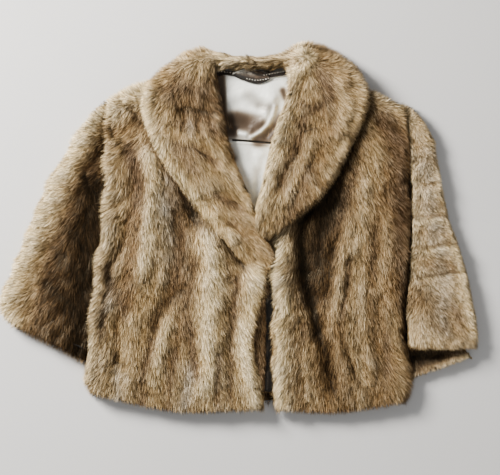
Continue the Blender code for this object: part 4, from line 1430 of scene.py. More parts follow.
RIGHT_FRONT = FurPanel(
    node="front_right",
    slot="tan_fur",
    base=S.TAN,
    hairs=94000,
    strokes=(
        # CREAM and SAND runs on the crests are partly the pelts' paler stripes and partly painted
        # highlight; DARK and UMBER runs are mostly painted shade in the hollows and painted shadow
        # under the collar; the other runs are mostly the fur's own tones.
        Stroke(S.FAWN, 22, 0.7, ((-191, 166), (-166, 173), (-153, 138), (-162, 75))),
        Stroke(S.BROWN, 7, 0.7, ((-170, 195), (-161, 185), (-150, 170))),
        Stroke(S.DARK, 3, 0.6, ((-169, 188), (-161, 185))),
        Stroke(S.BROWN, 6, 0.5, ((-200, 166), (-194, 151))),
        Stroke(S.CREAM, 18.8, 1, ((-144, 217), (-172, 207), (-197, 190), (-213, 173), (-219, 151))),
        Stroke(S.SAND, 7.5, 0.86, ((-181, 192), (-177, 181))),
        Stroke(S.SAND, 14, 0.95, ((-199, 122), (-194, 68), (-197, 16), (-205, -31), (-214, -85),
            (-221, -137), (-224, -192), (-225, -257))),
        Stroke(S.CREAM, 9, 0.7, ((-206, 107), (-203, 52), (-208, -3), (-217, -63), (-225, -121),
            (-230, -176), (-232, -231))),
        Stroke(S.BROWN, 11, 0.85, ((-169, 130), (-161, 91), (-155, 52))),
        Stroke(S.DARK, 6.5, 0.65, ((-155, 55), (-169, 31), (-175, 0), (-186, -28), (-199, -53))),
        Stroke(S.BROWN, 5, 0.6, ((-199, -53), (-205, -97), (-214, -160))),
        Stroke(S.OCHRE, 12, 0.75, ((-155, 78), (-156, 36), (-162, -11), (-170, -53), (-175, -113))),
        Stroke(S.SAND, 12.5, 0.95, ((-137, 138), (-136, 99), (-134, 68), (-136, 28), (-141, -11),
            (-145, -42), (-150, -66))),
        Stroke(S.CREAM, 10, 0.8, ((-137, 122), (-137, 60), (-139, 20), (-144, -19), (-150, -57))),
        Stroke(S.BROWN, 8, 0.85, ((-166, 122), (-159, 88), (-156, 47))),
        Stroke(S.GREY, 6, 0.7, ((-197, -74), (-200, -121))),
        Stroke(S.GREY, 9, 0.75, ((-115, 100), (-109, 68), (-115, 36))),
        Stroke(S.BROWN, 16, 0.75, ((-97, 47), (-93, 5), (-93, -38), (-100, -85))),
        Stroke(S.GREY, 4, 0.5, ((-106, 36), (-109, -11))),
        Stroke(S.GREY, 3, 0.45, ((-81, -6), (-84, -53))),
        Stroke(S.DARK, 4, 0.6, ((-103, 36), (-106, 0))),
        Stroke(S.DARK, 4, 0.5, ((-87, -11), (-90, -53))),
        Stroke(S.SAND, 6.2, 0.76, ((-120, -35), (-122, -74))),
        Stroke(S.MIST, 12, 0.4, ((-125, 60), (-114, 13), (-112, -35))),
        Stroke(S.BROWN, 8, 0.6, ((-200, -63), (-188, -97), (-178, -132))),
        Stroke(S.DARK, 11, 0.7, ((-90, -94), (-109, -104), (-123, -119), (-134, -148))),
        Stroke(S.BROWN, 9, 0.6, ((-71, -47), (-75, -82), (-84, -113), (-92, -160))),
        Stroke(S.FAWN, 12, 0.7, ((-90, -132), (-100, -168), (-109, -210))),
        Stroke(S.CREAM, 8, 0.75, ((-112, -144), (-125, -188), (-137, -236))),
        Stroke(S.BROWN, 7, 0.75, ((-137, -168), (-150, -231), (-153, -270))),
        Stroke(S.BROWN, 6, 0.7, ((-100, -184), (-109, -239), (-112, -273))),
        Stroke(S.GREY, 8, 0.7, ((-191, -217), (-188, -264))),
        Stroke(S.DARK, 4.5, 0.5, ((-192, -132), (-191, -168), (-192, -203))),
        Stroke(S.DARK, 4, 0.5, ((-192, -207), (-178, -206))),
        Stroke(S.SAND, 11.2, 0.76, ((-166, -141), (-169, -192), (-175, -262))),
        Stroke(S.SAND, 10, 0.76, ((-206, -184), (-213, -246))),
        Stroke(S.GREY, 10, 0.8, ((-75, -204), (-81, -236), (-87, -270))),
        # Painted shadow cast by the collar's overhanging edge: this DARK run and the UMBER run
        # after the next one.
        Stroke(S.DARK, 13, 0.42, ((-106, 69), (-84, 35), (-65, 6))),
        Stroke(S.GREY, 11, 0.5, ((-112, 100), (-101, 72), (-98, 44))),
        Stroke(S.UMBER, 9, 1.0, ((-90, 63), (-75, 35), (-57, 6), (-43, -19))),
        Stroke(S.BROWN, 6, 0.6, ((-137, 151), (-122, 110), (-100, 78), (-81, 50))),
        Stroke(S.SAND, 19, 0.9, ((-53, 0), (-43, -35), (-43, -78), (-48, -113), (-45, -160),
            (-43, -207), (-46, -267))),
        Stroke(S.CREAM, 15, 1.0, ((-51, -9), (-42, -42), (-43, -82), (-49, -118), (-48, -168),
            (-46, -210), (-54, -246))),
        Stroke(S.BROWN, 7, 0.7, ((-78, -141), (-73, -192), (-68, -226))),
        Stroke(S.BROWN, 5, 0.5, ((-34, -192), (-37, -239), (-34, -270))),
        # Painted shadow beside the collar's lower end.
        Stroke(S.UMBER, 8, 0.85, ((-21, -19), (-5, -38), (5, -53))),
        Stroke(S.FAWN, 5, 0.7, ((-21, -44), (-18, -66))),
        Stroke(S.DARK, 2.5, 0.8, ((-21, -77), (-12, -74))),
        Stroke(S.BROWN, 7, 0.75, ((-5, -69), (-10, -113), (-13, -160))),
        Stroke(S.BROWN, 5, 0.55, ((-15, -168), (-16, -262))),
        Stroke(S.CREAM, 13.5, 1.0, ((18, -57), (20, -97), (13, -135), (5, -163), (9, -201),
            (16, -239), (21, -267))),
        Stroke(S.BROWN, 4.5, 0.8, ((35, -66), (37, -105), (29, -141), (23, -170), (27, -201),
            (37, -232))),
    ),
    combs=(
        Comb((-147, 220), 118, 0.8), Comb((-175, 217), 128, 0.8), Comb((-206, 196), 145),
        Comb((-224, 162), 165), Comb((-141, 193), -100), Comb((-180, 177), -120),
        Comb((-200, 138), -150), Comb((-217, 154), -175, 1.4), Comb((-214, 107), -165, 1.5),
        Comb((-216, 44), -165, 1.5), Comb((-227, -35), -165, 1.6), Comb((-235, -129), -160, 1.5),
        Comb((-241, -223), -140, 1.2), Comb((-172, 91), -95), Comb((-141, 91), -80),
        Comb((-180, -19), -100), Comb((-141, -19), -85), Comb((-101, 44), -85),
        Comb((-93, -50), -90), Comb((-46, -50), -75), Comb((-188, -144), -95),
        Comb((-125, -160), -90), Comb((-54, -160), -85), Comb((9, -113), -75),
        Comb((35, -113), -55), Comb((-203, -270), -100), Comb((-125, -278), -92),
        Comb((-46, -283), -88), Comb((29, -270), -75), Comb((29, -184), -50, 0.8),
        Comb((38, -53), -35, 1.7), Comb((42, -89), -40, 1.6),
    ),
)

LEFT_FRONT = FurPanel(
    node="front_left",
    slot="tan_fur",
    # The darker base is painted shade, for this front's side away from the light.
    base=S.FAWN,
    hairs=96000,
    reach=6,
    strokes=(
        # The BROWN over the shoulder and the small DARK blotches are the fur's own tone; CREAM and
        # SAND are partly paler stripes and partly painted highlight on the crests.
        Stroke(S.BROWN, 18, 0.85, ((221, 173), (243, 151), (252, 99), (250, 13))),
        Stroke(S.DARK, 6, 0.6, ((233, 170), (246, 157))),
        Stroke(S.DARK, 5, 0.6, ((258, 129), (258, 83))),
        Stroke(S.DARK, 4, 0.5, ((227, 78), (230, 44))),
        Stroke(S.TAN, 10, 0.7, ((199, 173), (214, 130), (211, 78))),
        Stroke(S.CREAM, 16.2, 0.97, ((173, 245), (199, 223), (230, 204), (268, 185), (287, 163))),
        Stroke(S.SAND, 10, 0.65, ((258, 173), (271, 148), (274, 122))),
        # Painted shadow and shade in the valley under the collar's lower end, in this and the next
        # DARK runs.
        Stroke(S.UMBER, 20, 0.85, ((152, 57), (134, 6), (123, -35), (115, -82)), 3.0),
        Stroke(S.DARK, 16, 0.95, ((144, -6), (139, -53), (134, -97))),
        Stroke(S.BROWN, 7, 0.35, ((120, -13), (114, -74))),
        Stroke(S.DARK, 10, 0.9, ((114, -89), (123, -144), (139, -195), (148, -246))),
        # Painted shadow along the collar's edge, and painted shade down the valley below it.
        Stroke(S.UMBER, 7, 0.95, ((195, 201), (183, 162), (169, 122), (155, 88), (130, 50))),
        Stroke(S.UMBER, 9, 0.9, ((123, 41), (98, 19), (97, -19), (103, -63), (112, -113),
            (122, -160))),
        Stroke(S.BROWN, 7, 0.6, ((180, 99), (161, 44), (150, -3))),
        Stroke(S.SAND, 14, 0.9, ((73, 3), (73, -66), (76, -129), (82, -192), (82, -278))),
        Stroke(S.CREAM, 11, 1.0, ((71, -16), (70, -74), (70, -129), (70, -192), (68, -270))),
        Stroke(S.TAN, 10, 0.7, ((98, -129), (108, -184), (117, -267))),
        Stroke(S.SAND, 4, 0.5, ((104, -184), (111, -262))),
        Stroke(S.BROWN, 5, 0.6, ((101, -141), (104, -168))),
        Stroke(S.TAN, 15, 0.85, ((205, 122), (195, 60), (189, -11), (180, -74), (180, -160),
            (192, -270))),
        Stroke(S.SAND, 8.8, 0.81, ((199, 75), (191, 20), (183, -27))),
        Stroke(S.SAND, 8, 0.8, ((177, 16), (167, -27), (161, -63), (155, -100), (152, -132))),
        Stroke(S.BROWN, 5, 0.6, ((173, -42), (170, -89), (161, -129))),
        Stroke(S.DARK, 4, 0.5, ((158, -141), (167, -184), (180, -220), (189, -242))),
        Stroke(S.SAND, 6.2, 0.65, ((195, -58), (192, -113), (199, -168), (205, -231))),
        Stroke(S.SAND, 7.5, 0.59, ((228, 20), (227, -35), (221, -89))),
        Stroke(S.BROWN, 5, 0.5, ((211, 5), (208, -66))),
        Stroke(S.BROWN, 9, 0.75, ((249, 75), (249, 5), (250, -53), (255, -113))),
        Stroke(S.TAN, 9, 0.7, ((239, -129), (246, -192), (246, -264))),
        Stroke(S.BROWN, 5, 0.5, ((230, -160), (227, -226))),
        # Painted shade along the front's edge at the slit, and along its seam with the sleeve.
        Stroke(S.DARK, 5, 0.85, ((56, -53), (53, -113), (51, -176), (54, -257))),
        Stroke(S.UMBER, 6, 0.9, ((269, 107), (269, -3), (265, -89), (260, -168))),
        Stroke(S.DARK, 6, 0.7, ((258, -97), (261, -168))),
    ),
    combs=(
        Comb((186, 236), 62, 0.8), Comb((221, 214), 60, 0.8), Comb((265, 188), 35),
        Comb((269, 163), -60, 1.3), Comb((271, 135), -60, 1.4), Comb((272, 99), -30, 1.3),
        Comb((272, 44), -40, 1.2), Comb((271, -35), -50, 1.2), Comb((192, 193), -60),
        Comb((221, 170), -60), Comb((252, 154), -40), Comb((181, 122), -70), Comb((221, 75), -75),
        Comb((255, 75), -65), Comb((166, 60), -75), Comb((134, 28), -85), Comb((111, -19), -90),
        Comb((166, -35), -95), Comb((228, -50), -80), Comb((260, -97), -70), Comb((73, -19), -110),
        Comb((57, -16), -160, 2.0), Comb((57, -53), -160, 2.0), Comb((57, -91), -145, 1.5),
        Comb((79, -113), -95), Comb((111, -129), -85), Comb((173, -144), -95),
        Comb((236, -160), -80), Comb((260, -192), -60), Comb((57, -144), -145, 1.5),
        Comb((57, -199), -145, 1.4), Comb((57, -251), -135, 1.3), Comb((75, -192), -105),
        Comb((79, -270), -100), Comb((126, -278), -92), Comb((189, -275), -90),
        Comb((252, -267), -75), Comb((266, -246), -40, 1.4), Comb((268, -210), -30, 1.7),
    ),
)

RIGHT_SLEEVE = FurPanel(
    node="sleeve_right_upper",
    slot="sleeve_fur",
    # The dark base is painted shade: the sleeve's inside lies in the shadow of its raised outer
    # edge.
    base=S.DARK,
    hairs=46000,
    hair_length=15,
    crest=0.6,
    strokes=(
        Stroke(S.BROWN, 15, 0.55, ((-247, 107), (-272, 36), (-294, -27), (-310, -89),
            (-319, -141))),
        Stroke(S.OCHRE, 7, 0.25, ((-272, -6), (-238, -63))),
        Stroke(S.BROWN, 7, 0.35, ((-288, -53), (-244, -113))),
        Stroke(S.BROWN, 7, 0.35, ((-301, -113), (-250, -160))),
        Stroke(S.BROWN, 10, 0.6, ((-232, 88), (-222, 107))),
        Stroke(S.UMBER, 8, 0.45, ((-279, 25), (-263, 3), (-250, -19))),
        Stroke(S.UMBER, 8, 0.4, ((-288, -22), (-272, -38), (-254, -63))),
        Stroke(S.UMBER, 8, 0.4, ((-307, -75), (-282, -97), (-257, -119))),
        Stroke(S.UMBER, 7, 0.6, ((-246, 100), (-238, 88), (-236, 69))),
        Stroke(S.TAN, 3, 0.6, ((-244, 78), (-238, 66))),
        # Painted shadow beside the body's edge.
        Stroke(S.UMBER, 20, 0.9, ((-222, 60), (-230, 5), (-236, -50), (-244, -113), (-250, -184))),
        Stroke(S.OCHRE, 5, 0.55, ((-210, 99), (-210, 68), (-213, 44))),
        Stroke(S.TAN, 16, 0.8, ((-222, 154), (-244, 119), (-265, 72), (-282, 25), (-299, -16),
            (-316, -63), (-326, -107), (-332, -132))),
        # Painted highlight along the raised outer edge, over the fur's own pale tone there.
        Stroke(S.CREAM, 22, 1.0, ((-206, 192), (-224, 171), (-246, 144), (-268, 104), (-285, 66),
            (-301, 28), (-319, -13), (-338, -53), (-348, -91), (-359, -116), (-352, -141)), 2.8),
        Stroke(S.TAN, 5, 0.8, ((-341, -154), (-298, -177), (-247, -203))),
    ),
    combs=(
        Comb((-214, 195), 150, 0.5), Comb((-227, 179), 155, 0.8), Comb((-257, 152), 172, 1.25),
        Comb((-277, 118), 178, 0.8), Comb((-298, 80), 180, 1.25), Comb((-305, 58), 186, 0.8),
        Comb((-312, 38), 188, 1.2), Comb((-323, 19), 190, 0.8), Comb((-334, -2), 188, 1.2),
        Comb((-346, -24), 190, 0.8), Comb((-357, -44), 186, 1.25), Comb((-359, -66), 182, 0.8),
        Comb((-360, -88), 180, 1.2), Comb((-376, -115), 190, 1.15), Comb((-360, -151), -125),
        Comb((-250, 91), -150), Comb((-225, 122), -140), Comb((-219, 44), -70, 1.3),
        Comb((-225, -19), -70, 1.3), Comb((-235, -97), -72, 1.3), Comb((-274, 13), -135),
        Comb((-250, -53), -110), Comb((-298, -66), -135), Comb((-250, -144), -105),
        Comb((-313, -121), -125), Comb((-313, -168), -112), Comb((-258, -192), -105),
    ),
)

LEFT_SLEEVE = FurPanel(
    node="sleeve_left_upper",
    slot="sleeve_fur",
    base=S.SAND,
    hairs=44000,
    hair_length=12,
    reach=4,
    puffs=0.8,
    crest=0.45,
    strokes=(
        Stroke(S.FAWN, 7, 0.5, ((274, 144), (287, 119), (305, 104))),
        Stroke(S.FAWN, 7, 0.6, ((283, 44), (321, 36))),
        Stroke(S.FAWN, 9, 0.6, ((283, -2), (327, -5))),
        Stroke(S.GREY, 6, 0.6, ((302, 9), (321, -3))),
        Stroke(S.FAWN, 9, 0.65, ((287, -47), (330, -53))),
        Stroke(S.BROWN, 5, 0.4, ((296, -57), (334, -57))),
        Stroke(S.FAWN, 14, 0.75, ((283, -94), (315, -113), (337, -138))),
        Stroke(S.BROWN, 5, 0.5, ((330, -116), (341, -138))),
        Stroke(S.FAWN, 20, 0.75, ((283, -107), (315, -138), (334, -160))),
        Stroke(S.MIST, 14, 0.35, ((296, -89), (312, -129), (321, -160))),
        Stroke(S.GREY, 12, 0.45, ((290, 122), (296, 44), (309, -35), (321, -113))),
        Stroke(S.CREAM, 8, 0.8, ((274, 185), (296, 165), (309, 130), (316, 72), (330, 5),
            (343, -53), (356, -113), (367, -165))),
        # The CREAM and SAND runs from here are painted highlight on the raised border by the body
        # and on the tops of the cross bands.
        Stroke(S.CREAM, 6, 0.5, ((276, 99), (276, 36), (276, -53))),
        Stroke(S.CREAM, 4.5, 0.7, ((277, 14), (299, 16), (315, 13))),
        Stroke(S.CREAM, 4.5, 0.7, ((279, -30), (307, -28), (330, -30))),
        Stroke(S.SAND, 4.5, 0.5, ((283, -78), (315, -77))),
        Stroke(S.SAND, 6, 0.5, ((290, -170), (346, -173))),
        # The thin DARK and BROWN runs are painted shade under the cross bands; the last is painted
        # shadow under the hem.
        Stroke(S.DARK, 1.8, 0.6, ((290, 72), (302, 75))),
        Stroke(S.BROWN, 2.4, 0.7, ((274, 20), (299, 24), (324, 20))),
        Stroke(S.DARK, 2.6, 0.85, ((274, -24), (299, -22), (334, -22))),
        Stroke(S.DARK, 2.4, 0.8, ((280, -71), (309, -69), (341, -68))),
        Stroke(S.BROWN, 3, 0.5, ((299, -148), (321, -154))),
        Stroke(S.DARK, 4, 0.8, ((268, -181), (291, -188), (318, -196), (340, -196))),
    ),
    combs=(
        Comb((274, 188), 45, 0.7), Comb((290, 173), 35, 0.7), Comb((305, 138), 0, 0.8),
        Comb((315, 75), -20, 0.8), Comb((271, 154), -90), Comb((290, 146), -45, 0.8),
        Comb((330, 5), -30, 0.8), Comb((346, -53), -35, 0.8), Comb((359, -113), -38),
        Comb((371, -173), -40), Comb((274, 99), -125, 0.8), Comb((272, 44), -125, 0.8),
        Comb((302, 36), -40, 0.8), Comb((272, -35), -125, 0.8), Comb((309, -47), -35, 0.8),
        Comb((271, -113), -120), Comb((315, -113), -45), Comb((271, -176), -85),
        Comb((315, -184), -70), Comb((346, -188), -60),
    ),
)

RIGHT_SLEEVE_UNDER = FurPanel(
    node="sleeve_right_under",
    slot="facing_fur",
    base=S.BROWN,
    hairs=9000,
    hair_length=14,
    strokes=(
        Stroke(S.CREAM, 10, 0.6, ((-282, 107), (-351, -47), (-373, -122), (-345, -151),
            (-244, -204))),
    ),
    combs=(
        Comb((-282, 99), 180), Comb((-329, -19), 190), Comb((-368, -113), 190),
        Comb((-329, -163), -110), Comb((-258, -195), -105),
    ),
)

LEFT_SLEEVE_UNDER = FurPanel(
    node="sleeve_left_under",
    slot="facing_fur",
    base=S.BROWN,
    hairs=22000,
    hair_length=8,
    lift=0.12,
    strokes=(
        # Painted shadow under the upper layer's hem in the UMBER and DARK runs, and painted
        # highlight on the lower lip in the CREAM run.
        Stroke(S.UMBER, 12, 0.95, ((258, -196), (283, -201), (312, -203))),
        Stroke(S.DARK, 5, 0.8, ((299, -199), (330, -203))),
        Stroke(S.CREAM, 13, 1.0, ((268, -240), (299, -228), (327, -217), (362, -201), (378, -184))),
    ),
    combs=(
        Comb((323, 44), -20), Comb((354, -66), -30), Comb((374, -176), -35),
        Comb((363, -196), -55, 0.6), Comb((346, -207), -65), Comb((299, -226), -75),
        Comb((274, -239), -80),
    ),
)

RIGHT_COLLAR = FurPanel(
    node="collar_right",
    slot="collar_fur",
    base=S.TAN,
    hairs=64000,
    hair_length=17.5,
    strokes=(
        Stroke(S.SAND, 10.3, 0.76, ((-131, 245), (-109, 257), (-81, 270), (-53, 279))),
        Stroke(S.BROWN, 16, 0.5, ((-87, 236), (-65, 223), (-43, 236))),
        Stroke(S.BROWN, 8, 0.6, ((-112, 220), (-90, 225), (-65, 220))),
        Stroke(S.BROWN, 9, 0.6, ((-56, 220), (-40, 204))),
        Stroke(S.BROWN, 13, 0.5, ((-100, 207), (-71, 203), (-43, 192))),
        # Painted highlight along the raised outer edge, partly the fur's own pale rim.
        Stroke(S.CREAM, 13, 1.0, ((-141, 226), (-141, 201), (-136, 163), (-123, 129))),
        Stroke(S.CREAM, 8, 0.76, ((-125, 138), (-106, 107), (-84, 78), (-65, 57))),
        Stroke(S.SAND, 11, 0.45, ((-115, 170), (-100, 138), (-78, 99), (-53, 66))),
        # Painted shade below the fold.
        Stroke(S.BROWN, 13, 0.5, ((-90, 173), (-62, 168), (-37, 157))),
        Stroke(S.BROWN, 3, 0.7, ((-87, 181), (-87, 160))),
        Stroke(S.GREY, 2.5, 0.8, ((-78, 179), (-76, 157))),
        Stroke(S.DARK, 3, 0.7, ((-67, 177), (-65, 157))),
        Stroke(S.SAND, 2.9, 0.86, ((-56, 176), (-54, 155))),
        Stroke(S.BROWN, 3, 0.6, ((-45, 173), (-42, 151))),
        Stroke(S.SAND, 7, 0.5, ((-112, 157), (-87, 144))),
        Stroke(S.BROWN, 7, 0.8, ((-78, 135), (-59, 124), (-43, 110))),
        Stroke(S.DARK, 3.5, 0.6, ((-68, 130), (-53, 119))),
        Stroke(S.BROWN, 9, 0.5, ((-97, 141), (-84, 119), (-68, 97))),
        Stroke(S.SAND, 6.9, 0.65, ((-65, 100), (-43, 75))),
        # Painted shade along the inner edge, which faces away from the light.
        Stroke(S.BROWN, 9, 0.75, ((-31, 242), (-29, 201), (-23, 154), (-15, 122))),
        Stroke(S.DARK, 4, 0.6, ((-29, 201), (-26, 170), (-18, 135))),
        Stroke(S.SAND, 6.9, 0.59, ((-12, 97), (1, 66), (13, 38))),
        Stroke(S.BROWN, 7, 0.6, ((-40, 60), (-24, 47), (-5, 35))),
        Stroke(S.DARK, 3.5, 0.9, ((-16, 50), (-7, 41))),
        Stroke(S.CREAM, 8, 0.65, ((-109, 104), (-84, 72), (-59, 42), (-34, 13), (-12, -9))),
        Stroke(S.BROWN, 5, 0.5, ((-18, 16), (4, -6))),
        Stroke(S.SAND, 5.8, 0.65, ((1, 9), (23, -19))),
        Stroke(S.BROWN, 5, 0.6, ((20, 9), (38, -13), (45, -35))),
        Stroke(S.FAWN, 14, 0.65, ((-9, 22), (16, -6), (35, -31))),
        Stroke(S.SAND, 16, 0.95, ((-40, 270), (-12, 262), (35, 257))),
        Stroke(S.CREAM, 8, 0.6, ((-27, 267), (1, 261), (35, 259))),
        # Painted shade in the fold's crease.
        Stroke(S.BROWN, 8, 0.6, ((-84, 185), (-62, 181), (-46, 173))),
        Stroke(S.DARK, 8, 0.75, ((-95, 192), (-78, 193), (-62, 190), (-46, 184))),
    ),
    combs=(
        Comb((-31, 281), 110, 0.7), Comb((-7, 273), 115, 0.6), Comb((24, 270), 115, 0.6),
        Comb((-27, 267), 180, 0.7), Comb((-5, 264), 180, 0.7), Comb((16, 262), 180, 0.7),
        Comb((-21, 253), -115, 1.1), Comb((7, 251), -115, 1.1), Comb((-53, 283), 105),
        Comb((-84, 272), 120), Comb((-115, 251), 145), Comb((-137, 229), 170),
        Comb((-147, 201), -165), Comb((-147, 173), -150), Comb((-136, 135), -138),
        Comb((-117, 104), -125), Comb((-90, 72), -112), Comb((-62, 39), -95), Comb((-34, 6), -80),
        Comb((1, -31), -70), Comb((-109, 232), -150, 0.8), Comb((-78, 245), -110, 0.8),
        Comb((-49, 254), -80, 0.7), Comb((-93, 207), -105), Comb((-62, 209), -85),
        Comb((-32, 242), -50), Comb((-31, 214), -45), Comb((-27, 182), -40), Comb((-20, 138), -40),
        Comb((-5, 99), -42), Comb((10, 60), -48), Comb((23, 25), -50), Comb((-112, 177), -110),
        Comb((-78, 170), -88), Comb((-54, 162), -78), Comb((-109, 138), -95), Comb((-75, 126), -72),
        Comb((-46, 115), -58), Comb((-78, 83), -75), Comb((-43, 75), -60), Comb((-18, 68), -52),
        Comb((-43, 36), -68), Comb((-12, 28), -45), Comb((16, 0), -35), Comb((35, -25), -40),
        Comb((-12, -6), -62),
    ),
)

LEFT_COLLAR = FurPanel(
    node="collar_left",
    slot="collar_fur",
    base=S.TAN,
    hairs=64000,
    hair_length=17.5,
    strokes=(
        Stroke(S.FAWN, 17, 0.7, ((123, 226), (139, 188), (130, 146), (108, 99))),
        Stroke(S.BROWN, 9, 0.7, ((123, 251), (133, 232), (136, 210), (120, 195))),
        Stroke(S.BROWN, 7, 0.6, ((126, 242), (131, 226))),
        Stroke(S.BROWN, 7, 0.5, ((101, 204), (114, 195))),
        Stroke(S.BROWN, 6, 0.5, ((142, 173), (152, 157))),
        Stroke(S.SAND, 10.3, 0.86, ((155, 232), (164, 195), (155, 157))),
        # Painted highlight along the inner edge, which rises and faces the light, over the fur's
        # own pale tone there.
        Stroke(S.SAND, 14.9, 1, ((87, 254), (79, 214), (70, 166), (57, 113), (42, 60), (32, 31))),
        Stroke(S.CREAM, 11, 0.95, ((78, 239), (70, 185), (59, 138), (45, 88), (32, 47))),
        Stroke(S.BROWN, 8, 0.7, ((103, 182), (93, 146), (82, 115), (68, 75))),
        Stroke(S.DARK, 5, 0.5, ((106, 166), (95, 138), (84, 113), (73, 88))),
        Stroke(S.FAWN, 14, 0.5, ((114, 270), (142, 254), (164, 226))),
        Stroke(S.FAWN, 6, 0.7, ((123, 122), (108, 91), (89, 57))),
        Stroke(S.SAND, 5.8, 0.65, ((104, 122), (92, 88), (73, 50))),
        Stroke(S.SAND, 6, 0.6, ((189, 214), (181, 182), (167, 146), (148, 110), (130, 82),
            (104, 50))),
        Stroke(S.SAND, 9.2, 0.86, ((148, 264), (173, 245), (192, 220))),
        Stroke(S.CREAM, 9.2, 0.86, ((95, 283), (108, 264), (92, 245))),
        Stroke(S.DARK, 3, 0.9, ((101, 157), (115, 162))),
        Stroke(S.SAND, 16, 0.95, ((29, 257), (60, 261), (79, 267))),
        Stroke(S.BROWN, 6, 0.6, ((38, -16), (57, -8), (79, 9))),
        Stroke(S.FAWN, 14, 0.8, ((117, 82), (95, 47), (70, 16))),
        Stroke(S.BROWN, 7, 0.45, ((108, 107), (95, 69), (79, 35))),
    ),
    combs=(
        Comb((35, 272), 115, 0.6), Comb((64, 275), 115, 0.6), Comb((16, 268), 176, 1.5),
        Comb((18, 259), 182, 1.4), Comb((38, 262), 180, 0.8), Comb((57, 264), 180, 0.7),
        Comb((76, 264), 180, 0.7), Comb((35, 251), -115, 1.1), Comb((64, 253), -115, 1.1),
        Comb((90, 287), 105, 0.8), Comb((95, 273), 150, 0.7), Comb((117, 273), 30, 0.7),
        Comb((104, 290), 75), Comb((126, 286), 60), Comb((150, 272), 48), Comb((173, 254), 32),
        Comb((195, 226), 5), Comb((195, 201), -20), Comb((183, 166), -30), Comb((166, 126), -38),
        Comb((145, 85), -42), Comb((123, 50), -50), Comb((95, 28), -65), Comb((70, 0), -90),
        Comb((42, -19), -110), Comb((81, 251), 178, 0.8), Comb((76, 226), -160),
        Comb((70, 192), -145), Comb((62, 154), -132), Comb((49, 107), -125), Comb((37, 63), -118),
        Comb((27, 28), -115), Comb((101, 261), -90, 0.5), Comb((97, 229), -108),
        Comb((92, 195), -104), Comb((82, 151), -105), Comb((70, 99), -106), Comb((54, 47), -105),
        Comb((120, 239), -60), Comb((142, 229), -40), Comb((164, 214), -25), Comb((120, 201), -78),
        Comb((148, 188), -52), Comb((114, 157), -85), Comb((142, 146), -60), Comb((101, 115), -88),
        Comb((130, 107), -66), Comb((89, 68), -85), Comb((111, 68), -70), Comb((70, 31), -90),
    ),
)

FRONT_FACING = FurPanel(
    node="front_facing_right",
    slot="facing_fur",
    base=S.BROWN,
    hairs=8000,
    hair_length=13,
    margin=2,
    reach=4,
    strokes=(Stroke(S.FAWN, 12, 0.5, ((29, -113), (29, -270))),),
    combs=(Comb((29, -129), -80), Comb((29, -239), -85)),
)

BACK = FurPanel(
    node="back",
    slot="tan_fur",
    base=S.FAWN,
    hairs=22000,
    hair_length=13,
    divide=1,
    puffs=0.5,
    strokes=(
        Stroke(S.SAND, 22, 0.9, ((-241, -262), (-203, -283), (16, -290), (142, -287), (260, -270))),
        Stroke(S.SAND, 16, 0.8, ((-141, 226), (-62, 279), (95, 283), (189, 232), (283, 173))),
        # Painted shadow at the foot of the slit between the fronts.
        Stroke(S.UMBER, 15, 1.0, ((35, -251), (49, -261), (57, -279)), 4.0),
    ),
    combs=(
        Comb((-241, -239), -150), Comb((-203, -276), -105), Comb((16, -287), -90),
        Comb((252, -268), -75), Comb((271, -239), -40), Comb((-219, -35), -130),
        Comb((260, -35), -60), Comb((16, 264), 90), Comb((-172, 209), 130), Comb((236, 209), 50),
    ),
)

PANELS = (
    BACK,
    RIGHT_SLEEVE_UNDER,
    LEFT_SLEEVE_UNDER,
    RIGHT_SLEEVE,
    LEFT_SLEEVE,
    RIGHT_FRONT,
    LEFT_FRONT,
    FRONT_FACING,
    RIGHT_COLLAR,
    LEFT_COLLAR,
)


# --- floor, light and camera ---------------------------------------------------------


@dataclass(frozen=True)
class PaintedBoard:
    """Pale matt board: a faint broad mottle keeps it from looking like an empty page."""

    name: str = "pale_painted_board"
    low: float = 0.56
    high: float = 0.6
    mottle: float = 333.0  # mm

    def material(self) -> bpy.types.Material:
        """Makes the board's material.

        Returns:
            The material.
        """
        look, shader = new_look(self.name, {"Roughness": 0.8})
        tree = look.node_tree
        tone = ranged(tree, noise(tree, object_place(tree), self.mottle, 3.0), self.low, self.high)
        tree.links.new(tone, shader.inputs["Base Color"])
        return look


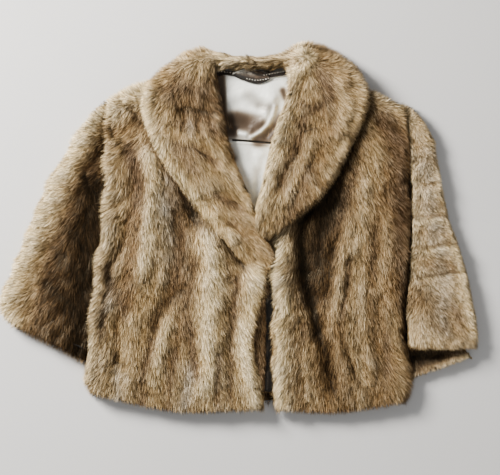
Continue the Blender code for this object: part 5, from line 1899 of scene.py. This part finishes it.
@dataclass
class Studio:
    """The pale floor, the soft light over the garment's right shoulder, and the camera.

    Attributes:
        centre: The place that the camera looks at, in metres.
        height: The camera's height over the garment's middle height, in metres.
        middle: The garment's middle height, in metres.
        seen_width: How much the picture's width shows at that height, in metres.
        sensor: The camera's sensor width, mm.
    """

    centre: tuple[float, float] = (0.0165, -0.0149)
    height: float = 3.0
    middle: float = 0.025
    seen_width: float = 0.785
    sensor: float = 36.0

    def build(self) -> None:
        """Makes the floor, the lights and the camera."""
        bpy.ops.mesh.primitive_plane_add(size=8)
        floor = bpy.context.object
        floor.name = "floor"
        floor.location.z = -0.5 * MM
        floor.data.materials.append(PaintedBoard().material())
        self.lamp("key", (-1.5, 1.1, 1.15), 0.7, 205)
        self.lamp("fill", (1.6, -1.2, 2.2), 2.2, 14)
        world = bpy.data.worlds.new("soft_room")
        world.use_nodes = True
        room = world.node_tree.nodes["Background"].inputs
        room["Color"].default_value = (1, 1, 1, 1)
        room["Strength"].default_value = 0.35
        bpy.context.scene.world = world
        lens = bpy.data.cameras.new("camera")
        lens.sensor_fit = "HORIZONTAL"
        lens.sensor_width = self.sensor
        lens.lens = self.sensor * self.height / self.seen_width
        camera = place("camera", lens)
        camera.location = (*self.centre, self.height + self.middle)
        bpy.context.scene.camera = camera

    def lamp(self, name: str, spot: tuple[float, float, float], size: float, watts: float) -> None:
        """Hangs a square soft lamp that faces the garment.

        Args:
            name: The lamp's name.
            spot: Where it hangs, in metres.
            size: Its side, in metres.
            watts: Its power.
        """
        light = bpy.data.lights.new(name, "AREA")
        light.size = size
        light.energy = watts
        light.color = (1.0, 0.96, 0.9)
        lamp = place(name, light)
        lamp.location = spot
        aim = Vector((*self.centre, 0)) - Vector(spot)
        lamp.rotation_euler = aim.to_track_quat("-Z", "Y").to_euler()


def main() -> None:
    """Builds the garment's pieces in order."""
    logging.basicConfig(level=logging.INFO, format="%(name)s: %(message)s")
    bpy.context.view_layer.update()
    Studio().build()
    blade = hair_blade()
    hair = MinkHair("mink_guard_hair").material()
    kit = FurKit(MinkUnderfur("mink_underfur").material(), HairGrower().tree(blade, hair))
    SatinLining().build()
    NeckBraid().build()
    PlainLabel().build()
    for seed, panel in enumerate(PANELS):
        panel.build(kit, seed)
    bpy.data.objects.remove(blade)


if __name__ == "__main__":
    main()
